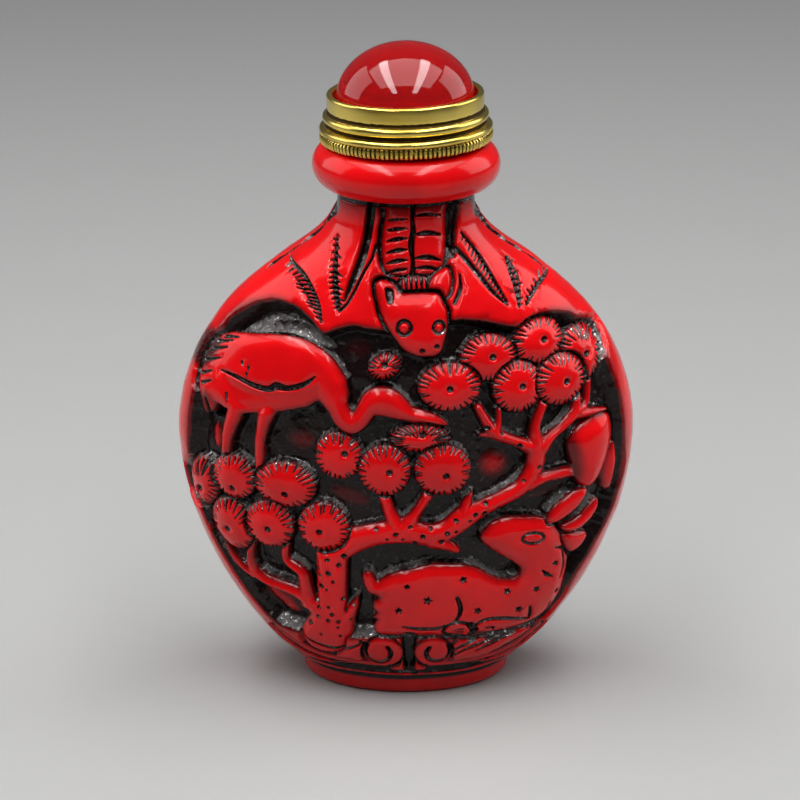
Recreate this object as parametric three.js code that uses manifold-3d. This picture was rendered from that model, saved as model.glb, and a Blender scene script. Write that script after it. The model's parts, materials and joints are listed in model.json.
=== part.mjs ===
// Snuff bottle: a flattened, shield-shaped bottle cast in red resin in the manner of carved
// lacquer, with a round lip, and a stopper of a brass collar, a glass cabochon and a cork.
// Millimetres, +Z up, front face towards -Y, origin at the middle of the foot's underside.

import * as THREE from 'three';
import { mergeVertices } from 'three/addons/utils/BufferGeometryUtils.js';
import Module from 'manifold-3d';

const wasm = await Module();
wasm.setup();

// ---------------------------------------------------------------- driving dimensions

// Outside of the bottle: height, half width across X, half depth along Y.
const BODY_STATIONS = [
  [0.0, 12.1, 8.9],
  [0.5, 12.7, 9.4],
  [1.8, 12.8, 9.6],
  [2.1, 13.1, 9.9],
  [3.7, 14.9, 11.0],
  [5.3, 16.7, 12.0],
  [8.3, 19.2, 13.1],
  [13.0, 22.3, 14.2],
  [19.0, 25.2, 14.9],
  [25.0, 27.1, 15.2],
  [31.5, 27.9, 15.3],
  [36.5, 27.4, 15.15],
  [41.0, 26.0, 14.7],
  [45.5, 23.6, 14.0],
  [49.5, 20.2, 13.0],
  [53.2, 15.8, 11.6],
  [56.2, 11.6, 10.1],
  [58.6, 9.3, 9.2],
  [61.5, 9.0, 9.0],
];
const BODY_SIDES = 32;
const GROUND_SIDES = 20;
const GROUND_HEIGHTS = [3.7, 10, 20, 31.5, 39, 45.5, 50, 56.2, 61.9];

const LIP = { ring: 8.45, tube: 2.85, height: 65.2, steps: 6 };
const LIP_TOP = LIP.height + LIP.tube;
const NECK_RADIUS = 9.0;
const BORE_RADIUS = 4.6;
const BORE_SIDES = 20;

const WALL = 4.6;
const CAVITY_FLOOR = 5.6;
const CAVITY_SHOULDER = 54.0;
const CAVITY_NECK = 57.5;
const CAVITY_HEIGHTS = [7.5, 14.0, 22.0, 31.5, 40.0, 47.0, CAVITY_SHOULDER];

const FOOT_RECESS = { wall: 2.4, depth: 0.8 };

// The ground of the relief lies this far inside the body, across X and along Y.
const GROUND = { x: 0.9, y: 2.1 };
// Cut lines on the figures are this deep.
const LINE = { x: 0.35, y: 0.8 };
const MOAT = 0.35;
const HEAD_MOAT = 0.6;
const PAD_SIDES = 12;
const FIGURE_REACH = 22;

const GAP = 0.3;
const STOPPER_TILT = THREE.MathUtils.degToRad(-1.35);
const COLLAR = {
  bottom: LIP_TOP + GAP,
  knurl: 10.4,
  bead: 9.95,
  band: 9.4,
  inner: 8.7,
  floor: 1.5,
  rim: 73.75,
  sides: 28,
};
const CABOCHON = { radius: 8.3, waist: 72.8, top: 79.6, base: 7.5, sides: 28, steps: 5 };
const CORK = { top: 4.2, bottom: 3.9, length: 7.6, sides: 12 };

// ---------------------------------------------------------------- materials

const resin = new THREE.MeshStandardMaterial({ color: 0xa80f1c, roughness: 0.28, metalness: 0 });
const brass = new THREE.MeshStandardMaterial({ color: 0xb08a2c, roughness: 0.38, metalness: 1 });
const glass = new THREE.MeshStandardMaterial({ color: 0xb31018, roughness: 0.06, metalness: 0 });
const cork = new THREE.MeshStandardMaterial({ color: 0xb98d5e, roughness: 0.9, metalness: 0 });

// ---------------------------------------------------------------- general helpers

// The closed solid of a geometry whose shared corners are merged.
function toSolid(geometry) {
  const bare = geometry.index ? geometry.toNonIndexed() : geometry.clone();
  bare.deleteAttribute('normal');
  bare.deleteAttribute('uv');
  const merged = mergeVertices(bare, 1e-4);
  const mesh = new wasm.Mesh({
    numProp: 3,
    vertProperties: new Float32Array(merged.attributes.position.array),
    triVerts: new Uint32Array(merged.index.array),
  });
  return new wasm.Manifold(mesh);
}

// A named mesh made of a solid.
function toMesh(name, solid, material) {
  const { vertProperties, triVerts, numProp } = solid.getMesh();
  const positions = new Float32Array(triVerts.length * 3);
  triVerts.forEach((vertex, i) => {
    for (let k = 0; k < 3; k += 1) {
      positions[3 * i + k] = vertProperties[vertex * numProp + k];
    }
  });
  const geometry = new THREE.BufferGeometry();
  geometry.setAttribute('position', new THREE.BufferAttribute(positions, 3));
  geometry.computeVertexNormals();
  const mesh = new THREE.Mesh(geometry, material);
  mesh.name = name;
  return mesh;
}

// A value of the stations at a height, on a smooth curve through them.
function stationValue(height, column) {
  const table = BODY_STATIONS;
  const last = table.length - 1;
  const z = THREE.MathUtils.clamp(height, table[0][0], table[last][0]);
  let i = 0;
  while (i < last - 1 && z > table[i + 1][0]) {
    i += 1;
  }
  const slope = (k) => {
    const low = Math.max(k - 1, 0);
    const high = Math.min(k + 1, last);
    return (table[high][column] - table[low][column]) / (table[high][0] - table[low][0]);
  };
  const step = table[i + 1][0] - table[i][0];
  const t = (z - table[i][0]) / step;
  const hermite = [
    2 * t ** 3 - 3 * t ** 2 + 1,
    t ** 3 - 2 * t ** 2 + t,
    3 * t ** 2 - 2 * t ** 3,
    t ** 3 - t ** 2,
  ];
  return hermite[0] * table[i][column] + hermite[1] * step * slope(i)
    + hermite[2] * table[i + 1][column] + hermite[3] * step * slope(i + 1);
}

const halfWidth = (height) => stationValue(height, 1);
const halfDepth = (height) => stationValue(height, 2);

// A closed solid through oval rings [height, half width, half depth], from low to high.
function loft(rings, sides) {
  const positions = [];
  const corner = (ring, k) => {
    const angle = (2 * Math.PI * k) / sides;
    return [ring[1] * Math.cos(angle), ring[2] * Math.sin(angle), ring[0]];
  };
  const face = (a, b, c) => positions.push(...a, ...b, ...c);
  for (let k = 0; k < sides; k += 1) {
    for (let i = 0; i + 1 < rings.length; i += 1) {
      const lowLeft = corner(rings[i], k);
      const lowRight = corner(rings[i], (k + 1) % sides);
      const highLeft = corner(rings[i + 1], k);
      const highRight = corner(rings[i + 1], (k + 1) % sides);
      face(lowLeft, lowRight, highRight);
      face(lowLeft, highRight, highLeft);
    }
    const first = rings[0];
    const final = rings[rings.length - 1];
    face([0, 0, first[0]], corner(first, (k + 1) % sides), corner(first, k));
    face([0, 0, final[0]], corner(final, k), corner(final, (k + 1) % sides));
  }
  const geometry = new THREE.BufferGeometry();
  geometry.setAttribute('position', new THREE.Float32BufferAttribute(positions, 3));
  return toSolid(geometry);
}

// A solid of revolution round Z from [radius, height] points that start and end on the axis
// or close on themselves.
function lathe(points, sides) {
  const profile = points.map(([radius, height]) => new THREE.Vector2(radius, height));
  const geometry = new THREE.LatheGeometry(profile, sides);
  geometry.rotateX(Math.PI / 2);
  return toSolid(geometry);
}

// ---------------------------------------------------------------- outlines in (x, z)

// A closed smooth outline through a few points, with one corner more between each two.
function smoothOutline(points) {
  const corners = points.map(([x, z]) => new THREE.Vector3(x, 0, z));
  const curve = new THREE.CatmullRomCurve3(corners, true, 'centripetal');
  const count = 2 * points.length;
  const outline = [];
  for (let i = 0; i < count; i += 1) {
    const p = curve.getPoint(i / count);
    outline.push([p.x, p.z]);
  }
  return outline;
}

// A tapering limb, such as a branch: points [x, z, half width] along its middle.
function limb(points) {
  const corners = points.map(([x, z, half]) => new THREE.Vector3(x, half, z));
  const curve = new THREE.CatmullRomCurve3(corners, false, 'centripetal');
  const count = points.length - 1;
  const left = [];
  const right = [];
  for (let i = 0; i <= count; i += 1) {
    const p = curve.getPoint(i / count);
    const tangent = curve.getTangent(i / count);
    const length = Math.hypot(tangent.x, tangent.z);
    const acrossX = (-tangent.z / length) * p.y;
    const acrossZ = (tangent.x / length) * p.y;
    left.push([p.x + acrossX, p.z + acrossZ]);
    right.unshift([p.x - acrossX, p.z - acrossZ]);
  }
  return [...left, ...right];
}

// A pine pad: an oval disc.
function padOutline({ x, z, rx, rz, turn = 0 }, grow = 0) {
  const outline = [];
  const angle = THREE.MathUtils.degToRad(turn);
  for (let i = 0; i < PAD_SIDES; i += 1) {
    const around = (2 * Math.PI * i) / PAD_SIDES;
    const u = (rx + grow) * Math.cos(around);
    const v = (rz + grow) * Math.sin(around);
    outline.push([x + u * Math.cos(angle) - v * Math.sin(angle),
      z + u * Math.sin(angle) + v * Math.cos(angle)]);
  }
  return outline;
}

// A groove that winds round a point, from one angle and radius to another, in degrees.
function spiral({ x, z, from, to, start, end, half }, steps = 7) {
  const points = [];
  for (let i = 0; i <= steps; i += 1) {
    const angle = THREE.MathUtils.degToRad(THREE.MathUtils.lerp(start, end, i / steps));
    const radius = THREE.MathUtils.lerp(from, to, i / steps);
    points.push([x + radius * Math.cos(angle), z + radius * Math.sin(angle), half]);
  }
  return limb(points);
}

// The outline moved outwards by a small width.
function grown(outline, width) {
  const count = outline.length;
  const area = outline.reduce((sum, [x, z], i) => {
    const [nextX, nextZ] = outline[(i + 1) % count];
    return sum + x * nextZ - nextX * z;
  }, 0);
  const out = Math.sign(area) * width;
  return outline.map(([x, z], i) => {
    const before = outline[(i + count - 1) % count];
    const after = outline[(i + 1) % count];
    const alongX = after[0] - before[0];
    const alongZ = after[1] - before[1];
    const length = Math.hypot(alongX, alongZ);
    return [x + (out * alongZ) / length, z - (out * alongX) / length];
  });
}

const mirrored = (outline) => outline.map(([x, z]) => [-x, z]);

// The prism of an outline, from the middle plane out past the front or the back.
function prism(outline, front = true) {
  const shape = new THREE.Shape(outline.map(([x, z]) => new THREE.Vector2(x, z)));
  const geometry = new THREE.ExtrudeGeometry(shape, {
    depth: FIGURE_REACH,
    bevelEnabled: false,
    curveSegments: 1,
  });
  geometry.rotateX(Math.PI / 2);
  if (!front) {
    geometry.translate(0, FIGURE_REACH, 0);
  }
  return toSolid(geometry);
}

// ---------------------------------------------------------------- the front's relief

const PADS = {
  lowerLeft: [
    { x: -25.3, z: 26.5, rx: 1.7, rz: 3.2 },
    { x: -21.3, z: 28.4, rx: 2.6, rz: 2.7 },
    { x: -14.8, z: 28.4, rx: 3.6, rz: 2.8 },
    { x: -21.6, z: 21.8, rx: 2.4, rz: 3.3, turn: 12 },
    { x: -16.8, z: 22.9, rx: 2.85, rz: 3.0 },
    { x: -10.1, z: 23.4, rx: 3.0, rz: 3.0 },
  ],
  middle: [
    { x: 1.7, z: 35.4, rx: 3.6, rz: 1.6 },
    { x: -8.2, z: 32.8, rx: 2.7, rz: 2.8 },
    { x: -2.6, z: 31.2, rx: 3.0, rz: 3.0 },
    { x: 4.4, z: 31.2, rx: 3.25, rz: 3.05 },
  ],
  upperRight: [
    { x: 21.7, z: 43.8, rx: 2.3, rz: 3.2, turn: 22 },
    { x: 16.0, z: 46.1, rx: 2.9, rz: 2.45 },
    { x: 9.9, z: 44.8, rx: 3.2, rz: 2.6 },
    { x: 5.2, z: 41.4, rx: 3.6, rz: 2.7 },
    { x: 13.5, z: 41.0, rx: 2.9, rz: 2.95 },
    { x: 18.8, z: 41.2, rx: 2.85, rz: 2.95 },
  ],
  chin: [{ x: -2.6, z: 44.0, rx: 1.9, rz: 1.3, turn: 22 }],
};

// The sunk panel: the frame and the bat's wings bound it.
const FRONT_PANEL = [
  [-16.2, 8.6], [-20.8, 14.6], [-24.7, 21.8], [-26.6, 29.5], [-26.1, 37.5], [-23.2, 44.2],
  [-18.7, 49.3], [-14.4, 50.4], [-11.2, 48.9], [-9.8, 47.7], [-6.3, 48.8], [0, 48.4],
  [5.5, 49.4], [10.5, 48.7], [14, 48.1], [17.4, 49], [20.8, 47.3], [24.3, 42.2],
  [26.4, 35.5], [26.7, 28], [24.6, 21], [20.2, 13.4], [16.6, 8.8], [5, 8.4], [-6, 8.4],
];

const TREE = [
  limb([[-9.7, 7.6, 3.4], [-9.5, 11.5, 2.4], [-9.2, 15, 1.8], [-9.1, 20.5, 2.0]]),
  limb([[-14.2, 8.2, 1.4], [-11, 8.8, 1.6], [-8, 10.5, 1.6]]),
  limb([[-6.0, 14.0, 0.3], [-6.6, 12.4, 0.8], [-7.6, 10.5, 1.2]]),
  limb([[-9.4, 20.2, 1.9], [-6, 22.2, 1.2], [-1.5, 23.4, 1.6], [2.8, 22.7, 1.3],
    [5.6, 23.2, 1.2], [8, 25.4, 1.4], [10.8, 26.8, 1.0], [13.6, 28.2, 1.2], [15.6, 31, 1.2],
    [15.9, 34.4, 0.9], [16.1, 38.4, 0.7]]),
  limb([[3.4, 22, 1.0], [5.2, 21.3, 0.9], [6.4, 20.7, 0.5]]),
  limb([[7.2, 25.4, 0.9], [7.9, 28, 0.5]]),
  limb([[15.4, 33, 1.0], [13.4, 34.5, 0.8], [11, 35.7, 1.0], [9.3, 38.6, 0.7]]),
  limb([[10.6, 35.6, 0.6], [8.9, 35.4, 0.3]]),
  limb([[16.4, 33, 1.0], [18.8, 35.2, 0.8], [20.8, 37, 0.8], [21, 39.4, 0.6]]),
  limb([[20.8, 36.6, 0.6], [24.4, 36.2, 0.5]]),
  limb([[21.8, 37, 0.5], [22.4, 40.4, 0.4]]),
  limb([[15, 28.9, 0.9], [17.6, 29.3, 0.7], [20.8, 29.3, 0.7]]),
  limb([[-1.6, 24, 1.0], [-2.4, 26.6, 0.7], [-3.2, 29, 0.7]]),
  limb([[0.4, 24.4, 1.0], [1.6, 26.4, 0.6], [3.2, 28.8, 0.7]]),
  limb([[-10.4, 11.6, 1.2], [-13.2, 14.2, 0.9], [-17, 14.7, 0.8], [-19.2, 16.2, 0.7],
    [-19.6, 19.4, 0.5]]),
  limb([[-12.4, 13.4, 0.9], [-12.7, 16.4, 0.8], [-14.4, 18, 0.7], [-15, 20.4, 0.5]]),
];

const CRANE = [
  [[-25.7, 39], [-24.6, 42.4], [-22.4, 45.6], [-18.3, 46.6], [-14.5, 46.9],
    [-10.6, 46], [-8, 43.9], [-7.1, 41], [-7.2, 38.6], [-9.2, 38.4], [-11.5, 39], [-15.4, 37.6],
    [-19.6, 37.1], [-22.2, 37.3], [-24.2, 35.8]],
  limb([[-8.2, 41.6, 1.7], [-8.1, 38.4, 1.4], [-6.9, 37, 1.25], [-5.3, 38, 1.2],
    [-4, 39.3, 1.3], [-2.6, 39.6, 1.8], [-0.6, 38.9, 1.2], [2, 38, 0.8], [4.9, 37.2, 0.2]]),
  limb([[-20.4, 38.4, 1.2], [-21.6, 35, 0.7], [-22.2, 30.6, 0.5]]),
  limb([[-16.6, 38.2, 1.2], [-17.6, 35, 0.65], [-17.8, 30.6, 0.5]]),
];

const BACK_SLOPE = smoothOutline([[-20, 46], [-17.6, 48.3], [-13, 49], [-9, 46.4], [-14.6, 45]]);

const ROCKS = [
  smoothOutline([[20.4, 34.8], [24.6, 35], [24.5, 30], [22.6, 26.9], [20.5, 30.4]]),
  smoothOutline([[24, 28.6], [26, 31.2], [26.4, 27.6], [24.8, 25.4]]),
];

const DEER = [
  [[9.1, 22.2], [10.2, 23.9], [12.5, 24.6], [16.3, 24], [18.8, 21.6], [20, 18.6],
    [20, 15], [18.8, 10.8], [16.6, 8.6], [11, 8.2], [4, 8.6], [-3.4, 9], [-4.2, 10.6],
    [-3.6, 12], [-4.1, 13.3], [-3.4, 14.7], [-5, 15.7], [-5.3, 17.4], [-4.5, 17.9], [-3.5, 16.8],
    [-1, 17.9], [2.8, 18.8], [6.4, 18.7], [9.2, 17.7], [11.4, 16.2], [13.6, 16.1], [14.3, 17.3],
    [12.6, 18.9], [10.4, 20.5]],
  [[17.1, 23.5], [17.6, 25.1], [20, 26.7], [21.7, 26.3], [20.6, 24.2]],
  [[18.6, 22.9], [20.8, 23.3], [23, 24.9], [22.6, 22.9], [20.9, 21.4], [19, 21.4]],
  [[19.3, 20.8], [21.6, 20.6], [22.2, 19.4], [21, 18], [19.6, 18.6]],
];

const BAT_EAR = [[2.8, 52.8], [3.2, 54.3], [5, 55.1], [5.4, 53.6], [4.4, 52]];
const BAT_HEAD = [[-3.7, 53.2], [-2.9, 54], [-1.6, 53.6], [-0.7, 52.4], [2, 52.5], [4.1, 52.2],
  [4.8, 50.4], [4.8, 48.4], [4.3, 46.2], [3, 45.3], [1, 45.4], [-1, 46.8], [-2.8, 49.6],
  [-3.6, 51.8]];

// The pair of scrolls at the foot, and the wave that sweeps out from under each.
const SCROLL = { x: -3.3, z: 6.7, from: 2.0, to: 1.3, start: 140, end: 390, half: 0.28 };
const WAVE = [[-15.6, 6.4, 0.15], [-10, 4.9, 0.3], [-4, 4.8, 0.25]];

// Lines cut into the figures, the wings and the foot of the panel.
const CUT_LINES = [
  limb([[-22, 41.5, 0.15], [-18.4, 40.6, 0.3], [-15, 40.4, 0.35], [-12.6, 41.1, 0.35],
    [-10.8, 42.5, 0.12]]),
  limb([[-13.8, 54, 0.15], [-11.7, 52.8, 0.6], [-10.4, 50.6, 0.5], [-10.1, 48.6, 0.15]]),
  limb([[-8.4, 57.8, 0.2], [-8.5, 54, 0.5], [-8, 50.2, 0.4]]),
  limb([[-8, 50.1, 0.2], [-6.2, 53.2, 0.6], [-4.6, 57, 0.7], [-4, 61.2, 0.4]]),
  limb([[5.2, 57.8, 0.2], [8.4, 54.6, 0.5], [11.9, 50.5, 0.15]]),
  limb([[12, 54.6, 0.15], [12.9, 52.4, 0.45], [13.4, 50, 0.12]]),
  limb([[14.4, 50.1, 0.12], [15.6, 51.4, 0.4], [17.2, 52.2, 0.12]]),
  limb([[-2.9, 54.4, 0.3], [0.8, 54.6, 0.35], [4.2, 55.4, 0.3]]),
  limb([[0.7, 60.8, 0.2], [0.7, 55, 0.3]]),
  limb([[5.2, 61.2, 0.3], [5.6, 58.6, 0.4], [5.3, 55.6, 0.5], [5.7, 53, 0.5], [5, 50.6, 0.2]]),
  limb([[-0.6, 10.6, 0.15], [3, 10.3, 0.3], [6.8, 11, 0.25], [8.2, 9.8, 0.4], [10.2, 11, 0.25],
    [15.2, 9.8, 0.15]]),
  limb([[6.4, 14.4, 0.15], [6.7, 12.8, 0.3], [5.9, 11.2, 0.2]]),
  limb(WAVE),
  mirrored(limb(WAVE)),
  spiral(SCROLL),
  mirrored(spiral(SCROLL)),
  limb([[0.4, 8.2, 0.5], [0.4, 6, 0.6], [0.4, 4.3, 0.4]]),
  limb([[5.4, 6.4, 0.15], [8.6, 7.6, 0.3], [15.4, 8.4, 0.12]]),
  limb([[8.8, 6.2, 0.12], [12, 7.2, 0.3], [16.2, 8.6, 0.12]]),
];

// Figures in the order in which they lie one over another.
const FRONT_FIGURES = [
  { outlines: [BACK_SLOPE], moat: 0 },
  { outlines: TREE, moat: 0 },
  { outlines: ROCKS, moat: MOAT },
  { outlines: CRANE, moat: MOAT },
  ...PADS.chin.map((pad) => ({ pad })),
  ...PADS.lowerLeft.map((pad) => ({ pad })),
  ...PADS.middle.map((pad) => ({ pad })),
  ...PADS.upperRight.map((pad) => ({ pad })),
  { outlines: DEER, moat: MOAT },
  { outlines: [BAT_HEAD], moat: HEAD_MOAT },
];

// ---------------------------------------------------------------- the back's relief

const BACK_PANEL = smoothOutline([
  [-16.2, 9.4], [-22.4, 17.6], [-26, 29], [-23.8, 40.6], [-17.4, 47.6], [-9, 48.4], [0, 46.4],
  [9, 48.4], [17.4, 47.6], [23.8, 40.6], [26, 29], [22.4, 17.6], [16.2, 9.4], [0, 8.6],
]);

const BACK_FIGURES = [
  {
    outlines: [
      limb([[0.6, 8.4, 3.4], [0.4, 14, 2.0], [-1.6, 21, 1.9], [2.2, 28, 1.6], [0.4, 38, 1.0]]),
      limb([[-1, 20, 1.4], [-8, 23.4, 1.2], [-14, 23, 0.8]]),
      limb([[1, 26.6, 1.3], [8, 28, 1.1], [14.6, 27, 0.8]]),
      limb([[1.4, 30, 1.2], [-6, 33.6, 1.0], [-12, 34, 0.7]]),
      limb([[1.2, 33, 1.0], [8, 36.6, 0.9], [13, 37, 0.6]]),
    ],
    moat: 0,
  },
  ...[
    { x: -15.6, z: 24, rx: 4, rz: 3.4 },
    { x: -8.4, z: 25.6, rx: 3.8, rz: 3.3 },
    { x: 16, z: 28, rx: 4, rz: 3.4 },
    { x: 9, z: 30, rx: 3.8, rz: 3.2 },
    { x: -13.4, z: 36.8, rx: 4, rz: 3.2 },
    { x: -6.2, z: 38.4, rx: 3.8, rz: 3.2 },
    { x: 13.6, z: 39.4, rx: 4, rz: 3.2 },
    { x: 0.8, z: 39.8, rx: 3.8, rz: 3.2 },
    { x: 7.2, z: 41.4, rx: 3.6, rz: 3.0 },
  ].map((pad) => ({ pad })),
];

// ---------------------------------------------------------------- the bottle

// The body's outer surface moved inwards by a width across X and a depth along Y.
function innerBody(inset) {
  const rings = GROUND_HEIGHTS.map((height) => [
    height, halfWidth(height) - inset.x, halfDepth(height) - inset.y,
  ]);
  return loft(rings, GROUND_SIDES);
}

// The whole outside: the body, the neck and the round lip.
function outerBody() {
  const rings = BODY_STATIONS.map((station) => [...station]);
  const start = -Math.acos((NECK_RADIUS - LIP.ring) / LIP.tube);
  for (let i = 0; i <= LIP.steps; i += 1) {
    const angle = start + ((Math.PI / 2 - start) * i) / LIP.steps;
    const radius = LIP.ring + LIP.tube * Math.cos(angle);
    rings.push([LIP.height + LIP.tube * Math.sin(angle), radius, radius]);
  }
  return loft(rings, BODY_SIDES);
}

// What is cut away round the figures of one side, down to the ground.
function carvedAway(panel, figures, ground, front) {
  let kept = null;
  for (const { outlines, moat, pad } of figures) {
    const shapes = pad ? [padOutline(pad)] : outlines;
    const rims = pad ? [padOutline(pad, MOAT)] : outlines.map((o) => grown(o, moat));
    if (kept && (pad || moat > 0)) {
      for (const rim of rims) {
        kept = kept.subtract(prism(rim, front));
      }
    }
    for (const shape of shapes) {
      const solid = prism(shape, front);
      kept = kept ? kept.add(solid) : solid;
    }
  }
  return prism(panel, front).subtract(kept).subtract(ground);
}

// What the front's cut lines, and the groove round the bat's head and ear, take off.
function linesCut(floor) {
  const head = [BAT_HEAD, BAT_EAR];
  let cut = prism(CUT_LINES[0]);
  for (const line of CUT_LINES.slice(1)) {
    cut = cut.add(prism(line));
  }
  for (const outline of head) {
    cut = cut.add(prism(grown(outline, HEAD_MOAT)));
  }
  for (const outline of head) {
    cut = cut.subtract(prism(outline));
  }
  return cut.subtract(floor);
}

// The hollow inside: the body less its wall, running up into the round bore.
function cavitySolid() {
  const rings = [[CAVITY_FLOOR,
    0.75 * (halfWidth(CAVITY_HEIGHTS[0]) - WALL), 0.7 * (halfDepth(CAVITY_HEIGHTS[0]) - WALL)]];
  for (const height of CAVITY_HEIGHTS) {
    rings.push([height, halfWidth(height) - WALL, halfDepth(height) - WALL]);
  }
  rings.push([CAVITY_NECK, BORE_RADIUS, BORE_RADIUS]);
  rings.push([LIP_TOP + 1, BORE_RADIUS, BORE_RADIUS]);
  return loft(rings, BORE_SIDES);
}

// The shallow recess inside the foot's rim.
function footRecess() {
  const { wall, depth } = FOOT_RECESS;
  const width = halfWidth(0) - wall;
  const breadth = halfDepth(0) - wall;
  return loft([[-1, width, breadth], [depth, width, breadth]], BORE_SIDES);
}

function makeBottle() {
  const ground = innerBody(GROUND);
  const lineFloor = innerBody(LINE);
  const solid = outerBody()
    .subtract(carvedAway(FRONT_PANEL, FRONT_FIGURES, ground, true))
    .subtract(carvedAway(BACK_PANEL, BACK_FIGURES, ground, false))
    .subtract(linesCut(lineFloor))
    .subtract(cavitySolid())
    .subtract(footRecess());
  return toMesh('bottle', solid, resin);
}

// ---------------------------------------------------------------- the stopper

// Points round a bead that stands out of the collar's side.
function bead(radius, middle, half, steps = 3) {
  const points = [];
  for (let i = 0; i <= steps; i += 1) {
    const angle = -Math.PI / 2 + (Math.PI * i) / steps;
    points.push([radius - half + half * Math.cos(angle), middle + half * Math.sin(angle)]);
  }
  return points;
}

function makeCollar() {
  const { bottom, knurl, bead: beadRadius, band, inner, floor, rim, sides } = COLLAR;
  const profile = [
    [0, bottom],
    ...bead(knurl, bottom + 0.8, 0.8),
    [band + 0.1, bottom + 1.8],
    ...bead(beadRadius, bottom + 2.5, 0.55),
    [band - 0.1, bottom + 3.25],
    [band, bottom + 3.6],
    [band, rim - 0.25],
    [band - 0.25, rim],
    [inner + 0.15, rim],
    [inner, rim - 0.2],
    [inner, bottom + floor],
    [0, bottom + floor],
  ];
  return toMesh('stopper_collar', lathe(profile, sides), brass);
}

function makeCabochon() {
  const { radius, waist, top, base, sides, steps } = CABOCHON;
  const seat = COLLAR.bottom + COLLAR.floor + GAP;
  const profile = [[0, seat], [base, seat], [radius, seat + 1]];
  for (let i = 0; i <= steps; i += 1) {
    const angle = (Math.PI / 2) * (i / steps);
    profile.push([radius * Math.cos(angle), waist + (top - waist) * Math.sin(angle)]);
  }
  profile[profile.length - 1][0] = 0;
  return toMesh('stopper_cabochon', lathe(profile, sides), glass);
}

function makeCork() {
  const { top, bottom, length, sides } = CORK;
  const high = COLLAR.bottom - GAP;
  const profile = [
    [0, high - length],
    [bottom - 0.3, high - length],
    [bottom, high - length + 0.3],
    [top, high],
    [0, high],
  ];
  return toMesh('stopper_cork', lathe(profile, sides), cork);
}

// The stopper sits a little askew: it turns about the left edge of the collar's underside.
function makeStopper() {
  const stopper = new THREE.Group();
  stopper.add(makeCollar(), makeCabochon(), makeCork());
  for (const mesh of stopper.children) {
    mesh.position.set(COLLAR.knurl, 0, -COLLAR.bottom);
  }
  stopper.position.set(-COLLAR.knurl, 0, COLLAR.bottom);
  stopper.rotation.y = STOPPER_TILT;
  return stopper;
}

const snuffBottle = new THREE.Group();
snuffBottle.add(makeBottle(), makeStopper());

export default snuffBottle;
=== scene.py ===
"""Snuff bottle of red cast resin in the manner of carved lacquer, with a glass-topped stopper.

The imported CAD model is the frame: every piece here goes where its nodes say. The bottle's
surface is one height field laid over the oval body: figures in the plane of the front (x, z)
are given as discs, limbs and outlines, each with a rounded top, a steep wall and a moat, and
they are laid one over another as a carver would. Lengths inside the classes are millimetres.
"""

from __future__ import annotations

import json
import logging
import math
from dataclasses import dataclass, field
from enum import Enum
from typing import Iterable, Protocol, Sequence

import bmesh
import bpy
import numpy as np
from mathutils import Matrix, Vector

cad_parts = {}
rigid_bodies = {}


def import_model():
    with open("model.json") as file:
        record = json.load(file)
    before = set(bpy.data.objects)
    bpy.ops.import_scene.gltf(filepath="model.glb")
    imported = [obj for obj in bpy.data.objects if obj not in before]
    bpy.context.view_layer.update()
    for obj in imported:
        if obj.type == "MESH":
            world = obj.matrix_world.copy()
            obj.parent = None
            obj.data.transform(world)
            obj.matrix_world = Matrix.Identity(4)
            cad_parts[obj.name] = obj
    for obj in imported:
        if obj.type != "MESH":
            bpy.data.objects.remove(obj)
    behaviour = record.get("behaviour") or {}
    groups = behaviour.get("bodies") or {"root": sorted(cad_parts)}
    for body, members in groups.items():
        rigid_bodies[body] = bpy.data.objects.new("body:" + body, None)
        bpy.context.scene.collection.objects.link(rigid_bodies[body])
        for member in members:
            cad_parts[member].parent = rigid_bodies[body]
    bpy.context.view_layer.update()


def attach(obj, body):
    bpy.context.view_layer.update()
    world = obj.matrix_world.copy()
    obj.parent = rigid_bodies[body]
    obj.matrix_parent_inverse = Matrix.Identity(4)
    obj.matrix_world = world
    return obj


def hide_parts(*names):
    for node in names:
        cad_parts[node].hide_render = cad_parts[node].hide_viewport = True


LOG = logging.getLogger("snuff_bottle")
MM = 0.001
BODY_NAME = "root"

# patina of the thin black that stays on the red beside a hollow, partly painted shade that darkens the
# red towards the hollow
WASH_AND_SHADE = 0.34

Points = Sequence[Sequence[float]]
Box = tuple[float, float, float, float]


class Side(Enum):
    """The two faces of the flattened bottle."""

    FRONT = -1.0
    BACK = 1.0


# ------------------------------------------------------------------ small mathematics


def smooth(t: np.ndarray) -> np.ndarray:
    """Eases 0..1 with level ends; values outside are clamped."""
    t = np.clip(t, 0.0, 1.0)
    return t * t * (3.0 - 2.0 * t)


def catmull_rom(points: Points, closed: bool, per_span: int) -> np.ndarray:
    """Samples a smooth curve through points.

    Args:
        points: Control points of any dimension.
        closed: Whether the curve returns to its first point.
        per_span: Samples between two control points.

    Returns:
        The samples, one row each.
    """
    p = np.asarray(points, float)
    n = len(p)
    spans = n if closed else n - 1
    out = []
    for i in range(spans):
        if closed:
            a, b, c, d = p[(i - 1) % n], p[i], p[(i + 1) % n], p[(i + 2) % n]
        else:
            a, b, c, d = p[max(i - 1, 0)], p[i], p[i + 1], p[min(i + 2, n - 1)]
        for t in np.arange(per_span) / per_span:
            out.append(
                0.5
                * (
                    2 * b
                    + (c - a) * t
                    + (2 * a - 5 * b + 4 * c - d) * t**2
                    + (3 * b - a - 3 * c + d) * t**3
                )
            )
    if not closed:
        out.append(p[-1])
    return np.array(out)


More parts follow.
